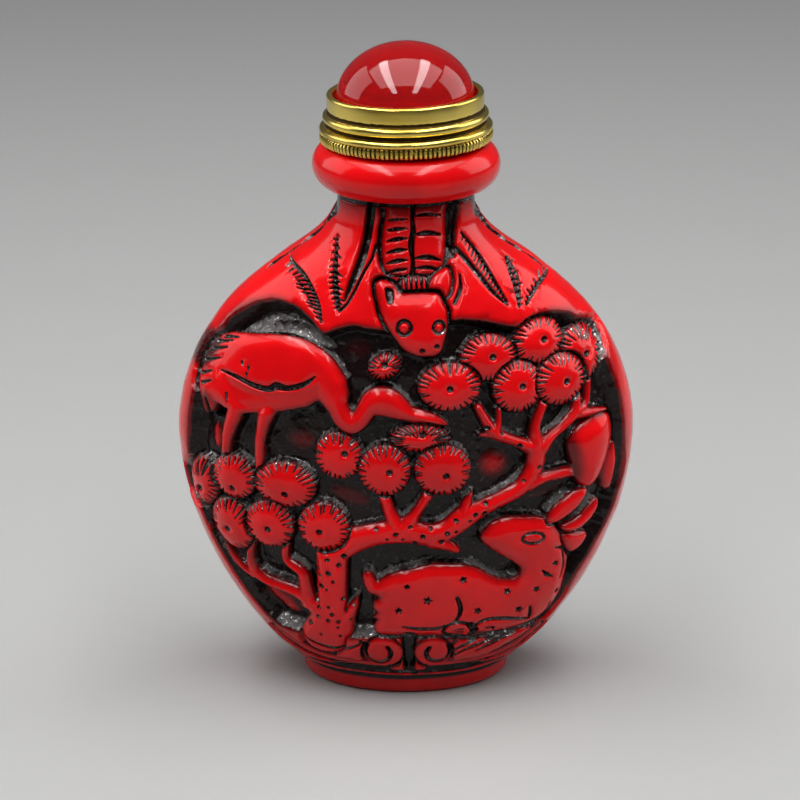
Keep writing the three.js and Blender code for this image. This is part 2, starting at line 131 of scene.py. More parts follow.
@dataclass(frozen=True)
class Grain:
    """Smooth random values over the plane, the same on every run."""

    seed: int
    pitch: float

    def at(self, x: np.ndarray, z: np.ndarray) -> np.ndarray:
        """Gives values that vary over about one pitch.

        Args:
            x: Points across.
            z: Points up.

        Returns:
            Values between -1 and 1.
        """
        table = np.random.default_rng(self.seed).uniform(-1.0, 1.0, (256, 256))
        u, v = x / self.pitch, z / self.pitch
        i, j = np.floor(u).astype(int), np.floor(v).astype(int)
        s, t = smooth(u - i), smooth(v - j)
        i0, i1, j0, j1 = i % 256, (i + 1) % 256, j % 256, (j + 1) % 256
        low = table[i0, j0] * (1 - s) + table[i1, j0] * s
        high = table[i0, j1] * (1 - s) + table[i1, j1] * s
        return low * (1 - t) + high * t


# ------------------------------------------------------------------ shapes of the relief


class Shape(Protocol):
    """Anything with a box and a distance, from which a figure is cut or raised."""

    def bounds(self) -> Box:
        """Returns low x, high x, low z and high z."""

    def distance(self, x: np.ndarray, z: np.ndarray) -> np.ndarray:
        """Returns the distance to the edge from points x, z, negative inside."""


def share_along(px: np.ndarray, pz: np.ndarray, ex: float, ez: float) -> np.ndarray:
    """Returns where points px, pz lie along a segment from 0, 0 to ex, ez: from 0 to 1."""
    return np.clip((px * ex + pz * ez) / max(ex * ex + ez * ez, 1e-9), 0.0, 1.0)


@dataclass(frozen=True)
class Disc:
    """An oval in the plane of the face."""

    x: float
    z: float
    rx: float
    rz: float
    turn: float = 0.0

    def bounds(self) -> Box:
        """Returns low x, high x, low z and high z."""
        r = max(self.rx, self.rz)
        return self.x - r, self.x + r, self.z - r, self.z + r

    def local(self, x: np.ndarray, z: np.ndarray) -> tuple[np.ndarray, np.ndarray]:
        """Turns points into the oval's own axes.

        Args:
            x: Points across.
            z: Points up.

        Returns:
            The points along its width and its height.
        """
        c, s = math.cos(math.radians(self.turn)), math.sin(math.radians(self.turn))
        u, v = x - self.x, z - self.z
        return u * c + v * s, v * c - u * s

    def distance(self, x: np.ndarray, z: np.ndarray) -> np.ndarray:
        """Measures to the rim.

        Args:
            x: Points across.
            z: Points up.

        Returns:
            The distances, negative inside.
        """
        u, v = self.local(x, z)
        k = np.hypot(u / self.rx, v / self.rz)
        g = np.hypot(u / self.rx**2, v / self.rz**2)
        return (k - 1.0) * k / np.maximum(g, 1e-6)


@dataclass(frozen=True)
class Limb:
    """A tapering limb with round ends: points x, z, half width along its middle."""

    points: Points
    per_span: int = 4

    def samples(self) -> np.ndarray:
        """Returns the limb's smoothed points."""
        return catmull_rom(self.points, False, self.per_span)

    def bounds(self) -> Box:
        """Gives the limb's box.

        Returns:
            Low x, high x, low z and high z.
        """
        s = self.samples()
        r = s[:, 2].max()
        return s[:, 0].min() - r, s[:, 0].max() + r, s[:, 1].min() - r, s[:, 1].max() + r

    def distance(self, x: np.ndarray, z: np.ndarray) -> np.ndarray:
        """Measures to the limb's edge.

        Args:
            x: Points across.
            z: Points up.

        Returns:
            The distances, negative inside.
        """
        s = self.samples()
        best = np.full(x.shape, np.inf)
        for (ax, az, ar), (bx, bz, br) in zip(s[:-1], s[1:]):
            ex, ez = bx - ax, bz - az
            px, pz = x - ax, z - az
            t = share_along(px, pz, ex, ez)
            d = np.hypot(px - t * ex, pz - t * ez) - (ar + t * (br - ar))
            np.minimum(best, d, out=best)
        return best


@dataclass(frozen=True)
class Outline:
    """A closed smooth outline through a few points x, z."""

    points: Points
    per_span: int = 4

    def bounds(self) -> Box:
        """Returns low x, high x, low z and high z."""
        s = catmull_rom(self.points, True, self.per_span)
        return s[:, 0].min(), s[:, 0].max(), s[:, 1].min(), s[:, 1].max()

    def distance(self, x: np.ndarray, z: np.ndarray) -> np.ndarray:
        """Measures to the outline.

        Args:
            x: Points across.
            z: Points up.

        Returns:
            The distances, negative inside.
        """
        s = catmull_rom(self.points, True, self.per_span)
        best = np.full(x.shape, np.inf)
        inside = np.zeros(x.shape, bool)
        for (ax, az), (bx, bz) in zip(s, np.roll(s, -1, axis=0)):
            ex, ez = bx - ax, bz - az
            px, pz = x - ax, z - az
            t = share_along(px, pz, ex, ez)
            np.minimum(best, (px - t * ex) ** 2 + (pz - t * ez) ** 2, out=best)
            if az != bz:
                crosses = ((az > z) != (bz > z)) & (x < ex * (z - az) / ez + ax)
                inside ^= crosses
        d = np.sqrt(best)
        return np.where(inside, -d, d)


@dataclass(frozen=True)
class Union:
    """Several shapes that are one figure."""

    shapes: tuple[Shape, ...]

    def bounds(self) -> Box:
        """Returns low x, high x, low z and high z."""
        b = np.array([shape.bounds() for shape in self.shapes])
        return b[:, 0].min(), b[:, 1].max(), b[:, 2].min(), b[:, 3].max()

    def distance(self, x: np.ndarray, z: np.ndarray) -> np.ndarray:
        """Returns the distance to the nearest of the shapes, negative inside."""
        return np.minimum.reduce([shape.distance(x, z) for shape in self.shapes])


@dataclass(frozen=True)
class Ring:
    """An oval with a smaller one taken out of it."""

    outer: Disc
    inner: Disc

    def bounds(self) -> Box:
        """Returns low x, high x, low z and high z."""
        return self.outer.bounds()

    def distance(self, x: np.ndarray, z: np.ndarray) -> np.ndarray:
        """Returns the distance to the ring, negative inside."""
        return np.maximum(self.outer.distance(x, z), -self.inner.distance(x, z))


@dataclass
class Carving:
    """The height and the patina over one face, worked on figure by figure.

    Height is measured from the body's outer surface, inwards negative. Patina is 1 where the
    black colour lies and 0 where the red is bare; low values on the red beside a hollow are a
    thin dark film, partly residual black and partly painted shade. Wiped says how far the black
    has come off the ground again, and ragged is a small unevenness of every edge.
    """

    x: np.ndarray
    z: np.ndarray
    depth: float = 2.1
    height: np.ndarray = field(init=False)
    patina: np.ndarray = field(init=False)
    wiped: np.ndarray = field(init=False)
    ragged: np.ndarray = field(init=False)

    def __post_init__(self) -> None:
        """Starts from the smooth red surface."""
        self.height = np.zeros(self.x.shape)
        self.patina = np.zeros(self.x.shape)
        self.wiped = np.zeros(self.x.shape)
        self.ragged = 0.05 * Grain(5, 0.5).at(self.x, self.z)

    def near(self, shape: Shape, margin: float) -> tuple[np.ndarray, np.ndarray]:
        """Finds the points in and near a shape's box.

        Args:
            shape: The shape.
            margin: How much wider than the box.

        Returns:
            Their indices and their distances from the shape.
        """
        x0, x1, z0, z1 = shape.bounds()
        inside = (self.x > x0 - margin) & (self.x < x1 + margin)
        inside &= (self.z > z0 - margin) & (self.z < z1 + margin)
        i = np.nonzero(inside)[0]
        return i, shape.distance(self.x[i], self.z[i])

    def sink(self, shape: Shape, wall: float = 0.8) -> None:
        """Sinks the panel inside a shape down to the black ground.

        Args:
            shape: The panel's outline.
            wall: Width of its side wall.
        """
        i, d = self.near(shape, 1.0)
        d += self.ragged[i]
        self.height[i] = np.minimum(self.height[i], -self.depth * smooth(0.12 - d / wall))
        # painted shade and thin black: the red darkens towards the panel's edge
        wash = WASH_AND_SHADE * np.clip(1.0 - d / 0.8, 0.0, 1.0) ** 2
        self.patina[i] = np.maximum(smooth((-d - 0.05) / 0.12), wash)

    def raise_figure(
        self,
        shape: Shape,
        top: float = 0.0,
        crown: float = 0.5,
        soft: float = 1.5,
        moat: float = 0.4,
        moat_depth: float = 1.1,
        wall: float = 0.5,
        power: float = 2.0,
    ) -> None:
        """Lays a figure over what is there.

        Args:
            shape: Its outline.
            top: Height of its highest part.
            crown: How far its edge lies below its top.
            soft: Width over which it rounds from the edge to the top.
            moat: Width of the groove that sets it off from what it overlaps, 0 for none.
            moat_depth: Depth of that groove.
            wall: Width of its side wall.
            power: How the rounding falls off; 1 gives a straight slope.
        """
        i, d = self.near(shape, wall + 1.0)
        d += 0.6 * self.ragged[i]
        h, p = self.height[i], self.patina[i]
        if moat > 0:
            edge = np.clip(1.0 - d / moat, 0.0, 1.0)
            h = np.minimum(h, np.where(d < moat, -moat_depth * edge**0.6, np.inf))
            p = np.maximum(p, smooth((0.85 * moat - d) / 0.12))
        within = 1.0 - np.clip(-d / soft, 0.0, 1.0)
        figure = np.where(
            d <= 0, top - crown * within**power, top - crown - (self.depth + 0.5) * d / wall
        )
        laid = (d <= 0) | (figure > h)
        self.height[i] = np.where(laid, figure, h)
        # painted shade and thin black: the figure's red darkens towards its outline
        wash = WASH_AND_SHADE * np.clip(1.0 + d / 0.7, 0.0, 1.0) ** 2
        self.patina[i] = np.where(laid, np.maximum(smooth((d - 0.03) / 0.1), wash), p)

    def cut(self, shape: Shape, depth: float = 0.45, edge: float = 0.07, fill: float = 1.0,
            fill_edge: float = 0.06) -> None:
        """Cuts a groove or pit of a shape's outline and fills it with black.

        Args:
            shape: The groove's outline.
            depth: Its depth.
            edge: How far its side slopes to either side of the outline.
            fill: How much black lies in it.
            fill_edge: How far the black reaches over the outline.
        """
        i, d = self.near(shape, 0.3)
        self.height[i] -= depth * smooth((edge - d) / (2 * edge))
        self.patina[i] = np.maximum(self.patina[i], fill * smooth((fill_edge - d) / 0.1))

    def bead(self, shape: Shape, rise: float) -> None:
        """Raises a bare round bead, as the ball of an eye.

        Args:
            shape: Its outline.
            rise: How far it stands up.
        """
        i, d = self.near(shape, 0.3)
        self.height[i] += rise * smooth((0.1 - d) / 0.5)
        self.patina[i] = np.minimum(self.patina[i], smooth((d + 0.06) / 0.1))

    def blacken(self, shape: Shape) -> None:
        """Lays black on a shape and a little beyond it.

        Args:
            shape: Its outline.
        """
        i, d = self.near(shape, 0.4)
        self.patina[i] = np.maximum(self.patina[i], smooth((0.3 - d) / 0.2))

    def swell(self, shape: Shape, rise: float, soft: float) -> None:
        """Raises or lowers the surface softly inside a shape.

        Args:
            shape: Where.
            rise: How far, downwards negative.
            soft: Width over which it eases in.
        """
        i, d = self.near(shape, 0.5)
        self.height[i] += rise * smooth(-d / soft)

    def shade(self, shape: Shape, amount: float, soft: float) -> None:
        """Paints shade on the red as a thin film of black, most at a shape's middle.

        Args:
            shape: Where.
            amount: How strong, as a share of the usual wash.
            soft: Width over which it eases in.
        """
        i, d = self.near(shape, 0.5)
        self.patina[i] = np.maximum(self.patina[i], WASH_AND_SHADE * amount * smooth(-d / soft))

    def wipe(self, shape: Shape, amount: float, soft: float) -> None:
        """Wipes the black off the ground, most at a shape's middle.

        Args:
            shape: Where.
            amount: How much comes off.
            soft: Width over which it eases in.
        """
        i, d = self.near(shape, 0.5)
        self.wiped[i] = np.maximum(self.wiped[i], amount * smooth(-d / soft))

    def roughen(self) -> None:
        """Gives the black parts the uneven surface of a casting."""
        fine = Grain(11, 0.45).at(self.x, self.z)
        coarse = Grain(12, 1.7).at(self.x, self.z)
        lumps = Grain(13, 3.2).at(self.x, self.z) + 0.5 * Grain(14, 1.3).at(self.x, self.z)
        self.height += self.patina * (0.05 * fine + 0.12 * coarse)
        self.height += (1.0 - self.patina) * 0.05 * lumps


# ------------------------------------------------------------------ the figures


@dataclass(frozen=True)
class PinePad:
    """A domed pad of pine needles: a disc with a pit at its middle and cuts round its rim."""

    x: float
    z: float
    rx: float
    rz: float
    turn: float = 0.0
    pit_x: float = 0.0
    pit_z: float = 0.0
    top: float = 0.0
    cuts: int = 26
    cut_length: float = 0.85

    def carve(self, carving: Carving) -> None:
        """Raises the pad and cuts its pit and needles.

        Args:
            carving: The face that is worked on.
        """
        disc = Disc(self.x, self.z, self.rx + 0.15, self.rz + 0.15, self.turn)
        radius = min(self.rx, self.rz)
        carving.raise_figure(
            disc, top=self.top, crown=0.75, soft=0.95 * radius, moat=0.35, moat_depth=1.4
        )
        c, s = math.cos(math.radians(self.turn)), math.sin(math.radians(self.turn))
        sizes = np.random.default_rng(int(1000 + 37 * self.x + 11 * self.z))
        for k in range(self.cuts):
            around = 2 * math.pi * (k + 0.3 * sizes.uniform(-1, 1)) / self.cuts
            longer = 1.0 + 0.4 * math.sin(around + math.radians(self.turn))
            reach = self.cut_length * longer * sizes.uniform(0.55, 1.2) / radius
            ends = []
            for share, half in ((1.08, 0.12), (1.0 - reach, 0.03)):
                u = share * self.rx * math.cos(around)
                v = share * self.rz * math.sin(around)
                ends.append((self.x + u * c - v * s, self.z + u * s + v * c, half))
            carving.cut(Limb(ends, 1), depth=0.36, edge=0.07)
        px, pz = self.x + self.pit_x, self.z + self.pit_z
        carving.swell(Disc(px, pz, 0.85, 0.85), -0.12, 0.5)
        carving.cut(Disc(px, pz, 0.34, 0.34), depth=0.5, edge=0.12)


@dataclass(frozen=True)
class Feather:
    """A cut line with short barbs down one side of it."""

    points: Points
    barbs: int
    length: float
    lean: float
    depth: float = 0.5
    barb_half: float = 0.09

    def carve(self, carving: Carving) -> None:
        """Cuts the line and its barbs; lean is the barbs' angle to it in degrees.

        Args:
            carving: The face that is worked on.
        """
        spine = Limb(self.points)
        carving.cut(spine, self.depth)
        path = spine.samples()
        steps = np.linspace(0.06, 0.94, self.barbs) * (len(path) - 1)
        for step in steps:
            i = int(step)
            base = path[i] + (path[min(i + 1, len(path) - 1)] - path[i]) * (step - i)
            run = path[min(i + 1, len(path) - 1)] - path[max(i - 1, 0)]
            angle = math.atan2(run[1], run[0]) + math.radians(self.lean)
            share = math.sin(math.pi * min(max(step / (len(path) - 1), 0.12), 0.88)) ** 0.5
            length = self.length * share * (1.0 + 0.25 * math.sin(7.0 * step))
            tip = (base[0] + length * math.cos(angle), base[1] + length * math.sin(angle))
            ends = [(base[0], base[1], self.barb_half * 1.5), (*tip, self.barb_half * 0.4)]
            carving.cut(Limb(ends, 1), self.depth * 0.8)


def pitted(carving: Carving, limb: Limb, every: float, seed: int, reach: float = 0.55) -> None:
    """Cuts small round pits to and fro along a limb, as on pine bark.

    Args:
        carving: The face that is worked on.
        limb: The branch that carries the pits.
        every: Spacing along the branch.
        seed: Fixes the small differences.
        reach: How far from the middle line, as a share of the half width.
    """
    chance = np.random.default_rng(seed)
    path = limb.samples()
    steps = np.hypot(*np.diff(path[:, :2], axis=0).T)
    along = np.concatenate([[0.0], np.cumsum(steps)])
    lane = 0
    for place in np.arange(0.7 * every, along[-1] - 0.4, every):
        place += 0.35 * every * chance.uniform(-1, 1)
        x, z, half = (np.interp(place, along, path[:, k]) for k in range(3))
        ahead = [np.interp(place + 0.3, along, path[:, k]) for k in range(2)]
        length = math.hypot(ahead[0] - x, ahead[1] - z) or 1.0
        lane = (lane + int(chance.integers(1, 3))) % 3
        out = reach * half * (lane - 1 + 0.4 * chance.uniform(-1, 1))
        px = x - out * (ahead[1] - z) / length
        pz = z + out * (ahead[0] - x) / length
        size = chance.uniform(0.13, 0.3)
        pit = Disc(px, pz, size, size * chance.uniform(0.8, 1.3), 30 * lane)
        carving.cut(pit, depth=0.25 + 0.7 * size, edge=0.09)


@dataclass(frozen=True)
class Pine:
    """The pine that rises at the left and spreads over the whole face."""

    trunk: Limb = Limb(
        ((-10.2, 8.0, 3.0), (-9.7, 10.2, 2.4), (-9.3, 12.6, 1.95), (-9.2, 16, 1.85), (-9.1, 20.4, 2.0))
    )
    roots: tuple = (
        Limb(((-12.3, 8.0, 0.8), (-11.3, 8.9, 1.2), (-10, 10, 1.5))),
        Limb(((-6.05, 14.1, 0.15), (-6.5, 12.9, 0.6), (-7.4, 11, 1.0), (-8, 9.4, 1.5))),
    )
    bough: Limb = Limb(
        ((-9.2, 20.3, 1.9), (-7, 21.7, 1.75), (-4, 22.8, 1.45), (-0.4, 23.3, 1.55),
         (3, 22.8, 1.35), (5.3, 23.6, 1.35), (7, 24.9, 1.45), (9.2, 26, 1.1), (11.6, 27, 1.0),
         (13.9, 28.2, 1.1), (15.4, 30.1, 1.1), (15.9, 32, 1.15), (15.8, 33.8, 1.0))
    )
    twigs: tuple = (
        Limb(((3.2, 22, 1.0), (4.8, 21.5, 0.8), (6.2, 20.75, 0.45))),
        Limb(((6.9, 25.2, 0.9), (7.4, 26.8, 0.6), (7.9, 27.9, 0.25))),
        Limb(((15.4, 33.2, 1.0), (13.6, 34.1, 0.62), (12, 34.8, 0.65), (10.6, 35.6, 0.75),
              (9.6, 37.2, 0.55), (8.7, 38.8, 0.5))),
        Limb(((10.8, 35.5, 0.7), (11.2, 36.8, 0.4), (11.25, 38.4, 0.3))),
        Limb(((11, 35.3, 0.5), (9, 35.35, 0.18))),
        Limb(((15.9, 33.5, 1.0), (15.7, 35.5, 0.62), (16.1, 37, 0.58), (16.8, 38.6, 0.6))),
        Limb(((16.5, 33, 1.0), (17.8, 34.4, 0.65), (19.3, 35.5, 0.65), (20.6, 36.7, 0.8),
              (20.9, 38, 0.55), (20.8, 39.4, 0.5))),
        Limb(((21, 36.8, 0.7), (22.1, 37.7, 0.42), (22.4, 40.4, 0.33))),
        Limb(((21.2, 36.5, 0.7), (23, 36.4, 0.5), (24.6, 36.2, 0.25))),
        Limb(((15, 28.6, 1.0), (17.4, 29.2, 0.7), (21, 29.3, 0.7))),
        Limb(((-1.2, 24, 1.1), (-2.1, 26, 0.75), (-2.9, 28.8, 0.75))),
        Limb(((0.2, 24.2, 1.1), (1.4, 26, 0.6), (3, 28.6, 0.7))),
        Limb(((-10.6, 11.4, 1.3), (-12.6, 13.4, 1.0), (-15, 14.3, 0.75), (-17.5, 14.7, 0.75),
              (-19, 15.7, 0.7), (-19.5, 17.5, 0.5), (-19.3, 19.6, 0.5))),
        Limb(((-12.2, 12.5, 1.0), (-12.5, 15, 0.85), (-12.9, 16.8, 0.7), (-14.2, 17.8, 0.62),
              (-15, 18.7, 0.5), (-14.9, 20.4, 0.5))),
        Limb(((-24, 20.6, 0.3), (-22.4, 17.7, 0.35), (-20.8, 15.9, 0.5), (-19, 15, 0.6))),
    )
    pads: tuple = (
        PinePad(-25.3, 26.5, 1.75, 3.3, 0, -0.2, -1.0, -0.2),
        PinePad(-21.3, 28.4, 2.6, 2.75, 0, 0.0, -1.4, -0.1),
        PinePad(-14.8, 28.5, 3.65, 2.75, 0, 0.1, -1.1, -0.05),
        PinePad(-21.6, 21.8, 2.5, 3.4, 12, -0.3, -0.5),
        PinePad(-16.8, 23.0, 2.85, 3.0, 0, 0.0, -0.5),
        PinePad(-10.1, 23.5, 3.0, 3.0, 0, -0.4, -0.5),
        PinePad(1.7, 35.3, 3.6, 1.65, 0, 0.3, 0.5, -0.15, 30, 0.9),
        PinePad(-8.2, 32.8, 2.75, 2.85, 0, 0.8, 0.4, -0.25),
        PinePad(-2.6, 31.2, 3.0, 3.05, 0, 0.6, -0.1),
        PinePad(4.4, 31.2, 3.3, 3.05, 0, 0.4, -0.6),
        PinePad(-2.6, 44.0, 1.95, 1.35, 22, 0, 0.2, -0.2, 18, 0.8),
        PinePad(21.5, 43.8, 2.15, 3.2, 22, 0.4, -0.4, -0.15),
        PinePad(16.0, 46.1, 2.95, 2.5, 0, 0.5, 0.0),
        PinePad(9.9, 44.8, 3.2, 2.65, 0, 0.4, 0.0),
        PinePad(5.2, 41.5, 3.65, 2.75, 0, 0.0, -0.2),
        PinePad(13.5, 41.0, 2.9, 2.95, 0, 0.4, 0.0, 0.0, 28),
        PinePad(18.8, 41.2, 2.9, 2.95, 0, 0.5, -0.4),
    )

    def carve_wood(self, carving: Carving) -> None:
        """Raises the trunk, roots, bough and twigs, and pits their bark.

        Args:
            carving: The face that is worked on.
        """
        wood = Union((self.trunk, *self.roots, self.bough, *self.twigs))
        carving.raise_figure(wood, top=-0.1, crown=0.75, soft=1.25, moat=0.0, wall=0.45)
        pitted(carving, self.trunk, 0.58, 21, 0.68)
        pitted(carving, self.roots[1], 1.1, 23, 0.6)
        pitted(carving, Limb(self.bough.points[2:9]), 0.95, 24)
        pitted(carving, Limb(self.bough.points[9:]), 2.2, 25)
        pitted(carving, self.twigs[2], 2.6, 26)

    def carve_pads(self, carving: Carving) -> None:
        """Raises the pads, the front ones last."""
        for pad in self.pads:
            pad.carve(carving)


@dataclass(frozen=True)
class Crane:
    """The crane at the upper left, walking to the left, with its head turned back."""

    body: Outline = Outline(
        ((-25.6, 38.6), (-25.2, 40.8), (-24.3, 43.1), (-22.9, 45), (-21, 46), (-18.3, 46.5),
         (-15, 46.9), (-12, 46.6), (-9.9, 45.6), (-8.2, 43.9), (-7.2, 41.9), (-7, 39.8),
         (-7.6, 38.2), (-9, 38), (-10.5, 39.5), (-12.2, 38.7), (-15, 37.9), (-17, 37.4),
         (-19, 37.1), (-20.6, 36.6), (-22, 36.9), (-23.2, 37.4), (-23.7, 36.2), (-24.4, 35.8),
         (-25.1, 36.9))
    )
    neck: Limb = Limb(
        ((-8.4, 41.8, 1.3), (-8.3, 39.4, 1.25), (-7.6, 37.7, 1.25), (-6.6, 37.05, 1.3),
         (-5.5, 37.7, 1.15), (-4.7, 38.9, 1.2), (-3.8, 39.7, 1.6), (-2.6, 39.8, 1.75),
         (-1.3, 39.3, 1.5), (0.2, 38.4, 0.95), (2, 37.9, 0.85), (3.6, 37.5, 0.6),
         (4.9, 37.0, 0.12))
    )
    legs: tuple = (
        Limb(((-20.6, 38, 1.2), (-21.2, 36, 0.85), (-21.9, 33.8, 0.65), (-22.2, 31.6, 0.5),
              (-22.3, 30.2, 0.5))),
        Limb(((-16.8, 38, 1.1), (-17.4, 36, 0.75), (-17.8, 34, 0.6), (-17.9, 31.8, 0.55),
              (-17.9, 30.4, 0.5))),
    )
    slope: Outline = Outline(
        ((-20.4, 46.1), (-18.8, 47.5), (-16.9, 48.5), (-14.8, 49), (-12.8, 48.8), (-11.2, 48.1),
         (-9.2, 46.9), (-9, 45), (-14, 44.6), (-19, 44.8))
    )
    wing_edge: Limb = Limb(
        ((-22.2, 41.5, 0.06), (-20.4, 41.2, 0.2), (-18.3, 40.6, 0.28), (-16.5, 40.4, 0.32),
         (-15.4, 40.9, 0.42), (-14.2, 40.8, 0.3), (-12.7, 41.2, 0.3), (-11.6, 41.8, 0.22),
         (-10.8, 42.5, 0.06))
    )
    belly: Outline = Outline(
        ((-22, 41.2), (-18.4, 40.4), (-15, 40.4), (-11.5, 41.4), (-10.2, 42), (-9.6, 39.6),
         (-12, 38.4), (-16, 37.2), (-21, 37.4))
    )
    plumes: Points = (
        (-24.9, 40.3, 1.6, 0.8), (-24.3, 41.9, 2.0, 0.9), (-23.5, 43.4, 2.1, 0.8),
        (-22.8, 44.4, 2.0, 0.7), (-22.0, 45.2, 1.8, 0.4), (-24.9, 39.2, 1.5, 0.8),
    )
    shadows: tuple = (
        (Disc(-24.2, 43, 1.9, 3.4, -35), 1.5, 1.6),
        (Disc(-24.4, 37.6, 1.6, 1.8), 1.0, 1.4),
    )
    folds: tuple = (
        (Limb(((-24.3, 37.7, 0.1), (-24.1, 35.7, 0.35))), 0.9),
        (Limb(((-21.9, 37.0, 0.1), (-22.8, 36.5, 0.4), (-23.7, 35.8, 0.3))), 1.2),
        (Limb(((-21.6, 39, 0.12), (-21.5, 38, 0.06))), 0.25),
    )
    specks: Points = ((-19.6, 42.9), (-18.8, 42.5), (-19.0, 41.7))

    def carve(self, carving: Carving) -> None:
        """Raises the bird, and cuts its wing, tail and the folds over its legs.

        Args:
            carving: The face that is worked on.
        """
        carving.raise_figure(
            self.slope, top=0.2, crown=2.3, soft=2.7, moat=0.0, wall=0.3, power=1.0
        )
        carving.blacken(self.slope)
        carving.raise_figure(
            Union((self.body, self.neck, *self.legs)), top=0.05, crown=0.65, soft=1.7
        )
        carving.swell(self.belly, -0.35, 1.1)
        carving.cut(self.wing_edge, 0.6, 0.1)
        for x, z, run, rise in self.plumes:
            carving.cut(Limb(((x, z, 0.2), (x + run, z + rise, 0.05)), 1), 0.4)
        for disc, amount, soft in self.shadows:
            carving.shade(disc, amount, soft)
        for fold, depth in self.folds:
            carving.cut(fold, depth)
        for x, z in self.specks:
            carving.cut(Disc(x, z, 0.12, 0.3), 0.2)


@dataclass(frozen=True)
class Rocks:
    """The smooth boulders at the right edge."""

    stones: tuple = (
        Outline(((20.9, 34.7), (23, 35.8), (25.1, 35.6), (25.7, 33.4), (25.4, 30.9),
                 (24.7, 28.6), (23.5, 26.8), (22, 26.7), (20.9, 28.4), (20.4, 30.6), (20, 32.7))),
        Outline(((24.7, 28.8), (25.3, 30.8), (26, 31.6), (26.5, 29.2), (26.2, 26.7), (25.6, 25.1),
                 (24.8, 25.7), (24.5, 27.2))),
    )

    def carve(self, carving: Carving) -> None:
        """Raises each boulder as a smooth dome.

        Args:
            carving: The face that is worked on.
        """
        for stone in self.stones:
            carving.raise_figure(stone, top=-0.05, crown=1.0, soft=2.4, moat=0.3)
        # painted shadow on the left side of the boulders
        carving.shade(Disc(20.6, 30.6, 1.6, 4.2, 8), 1.0, 1.5)


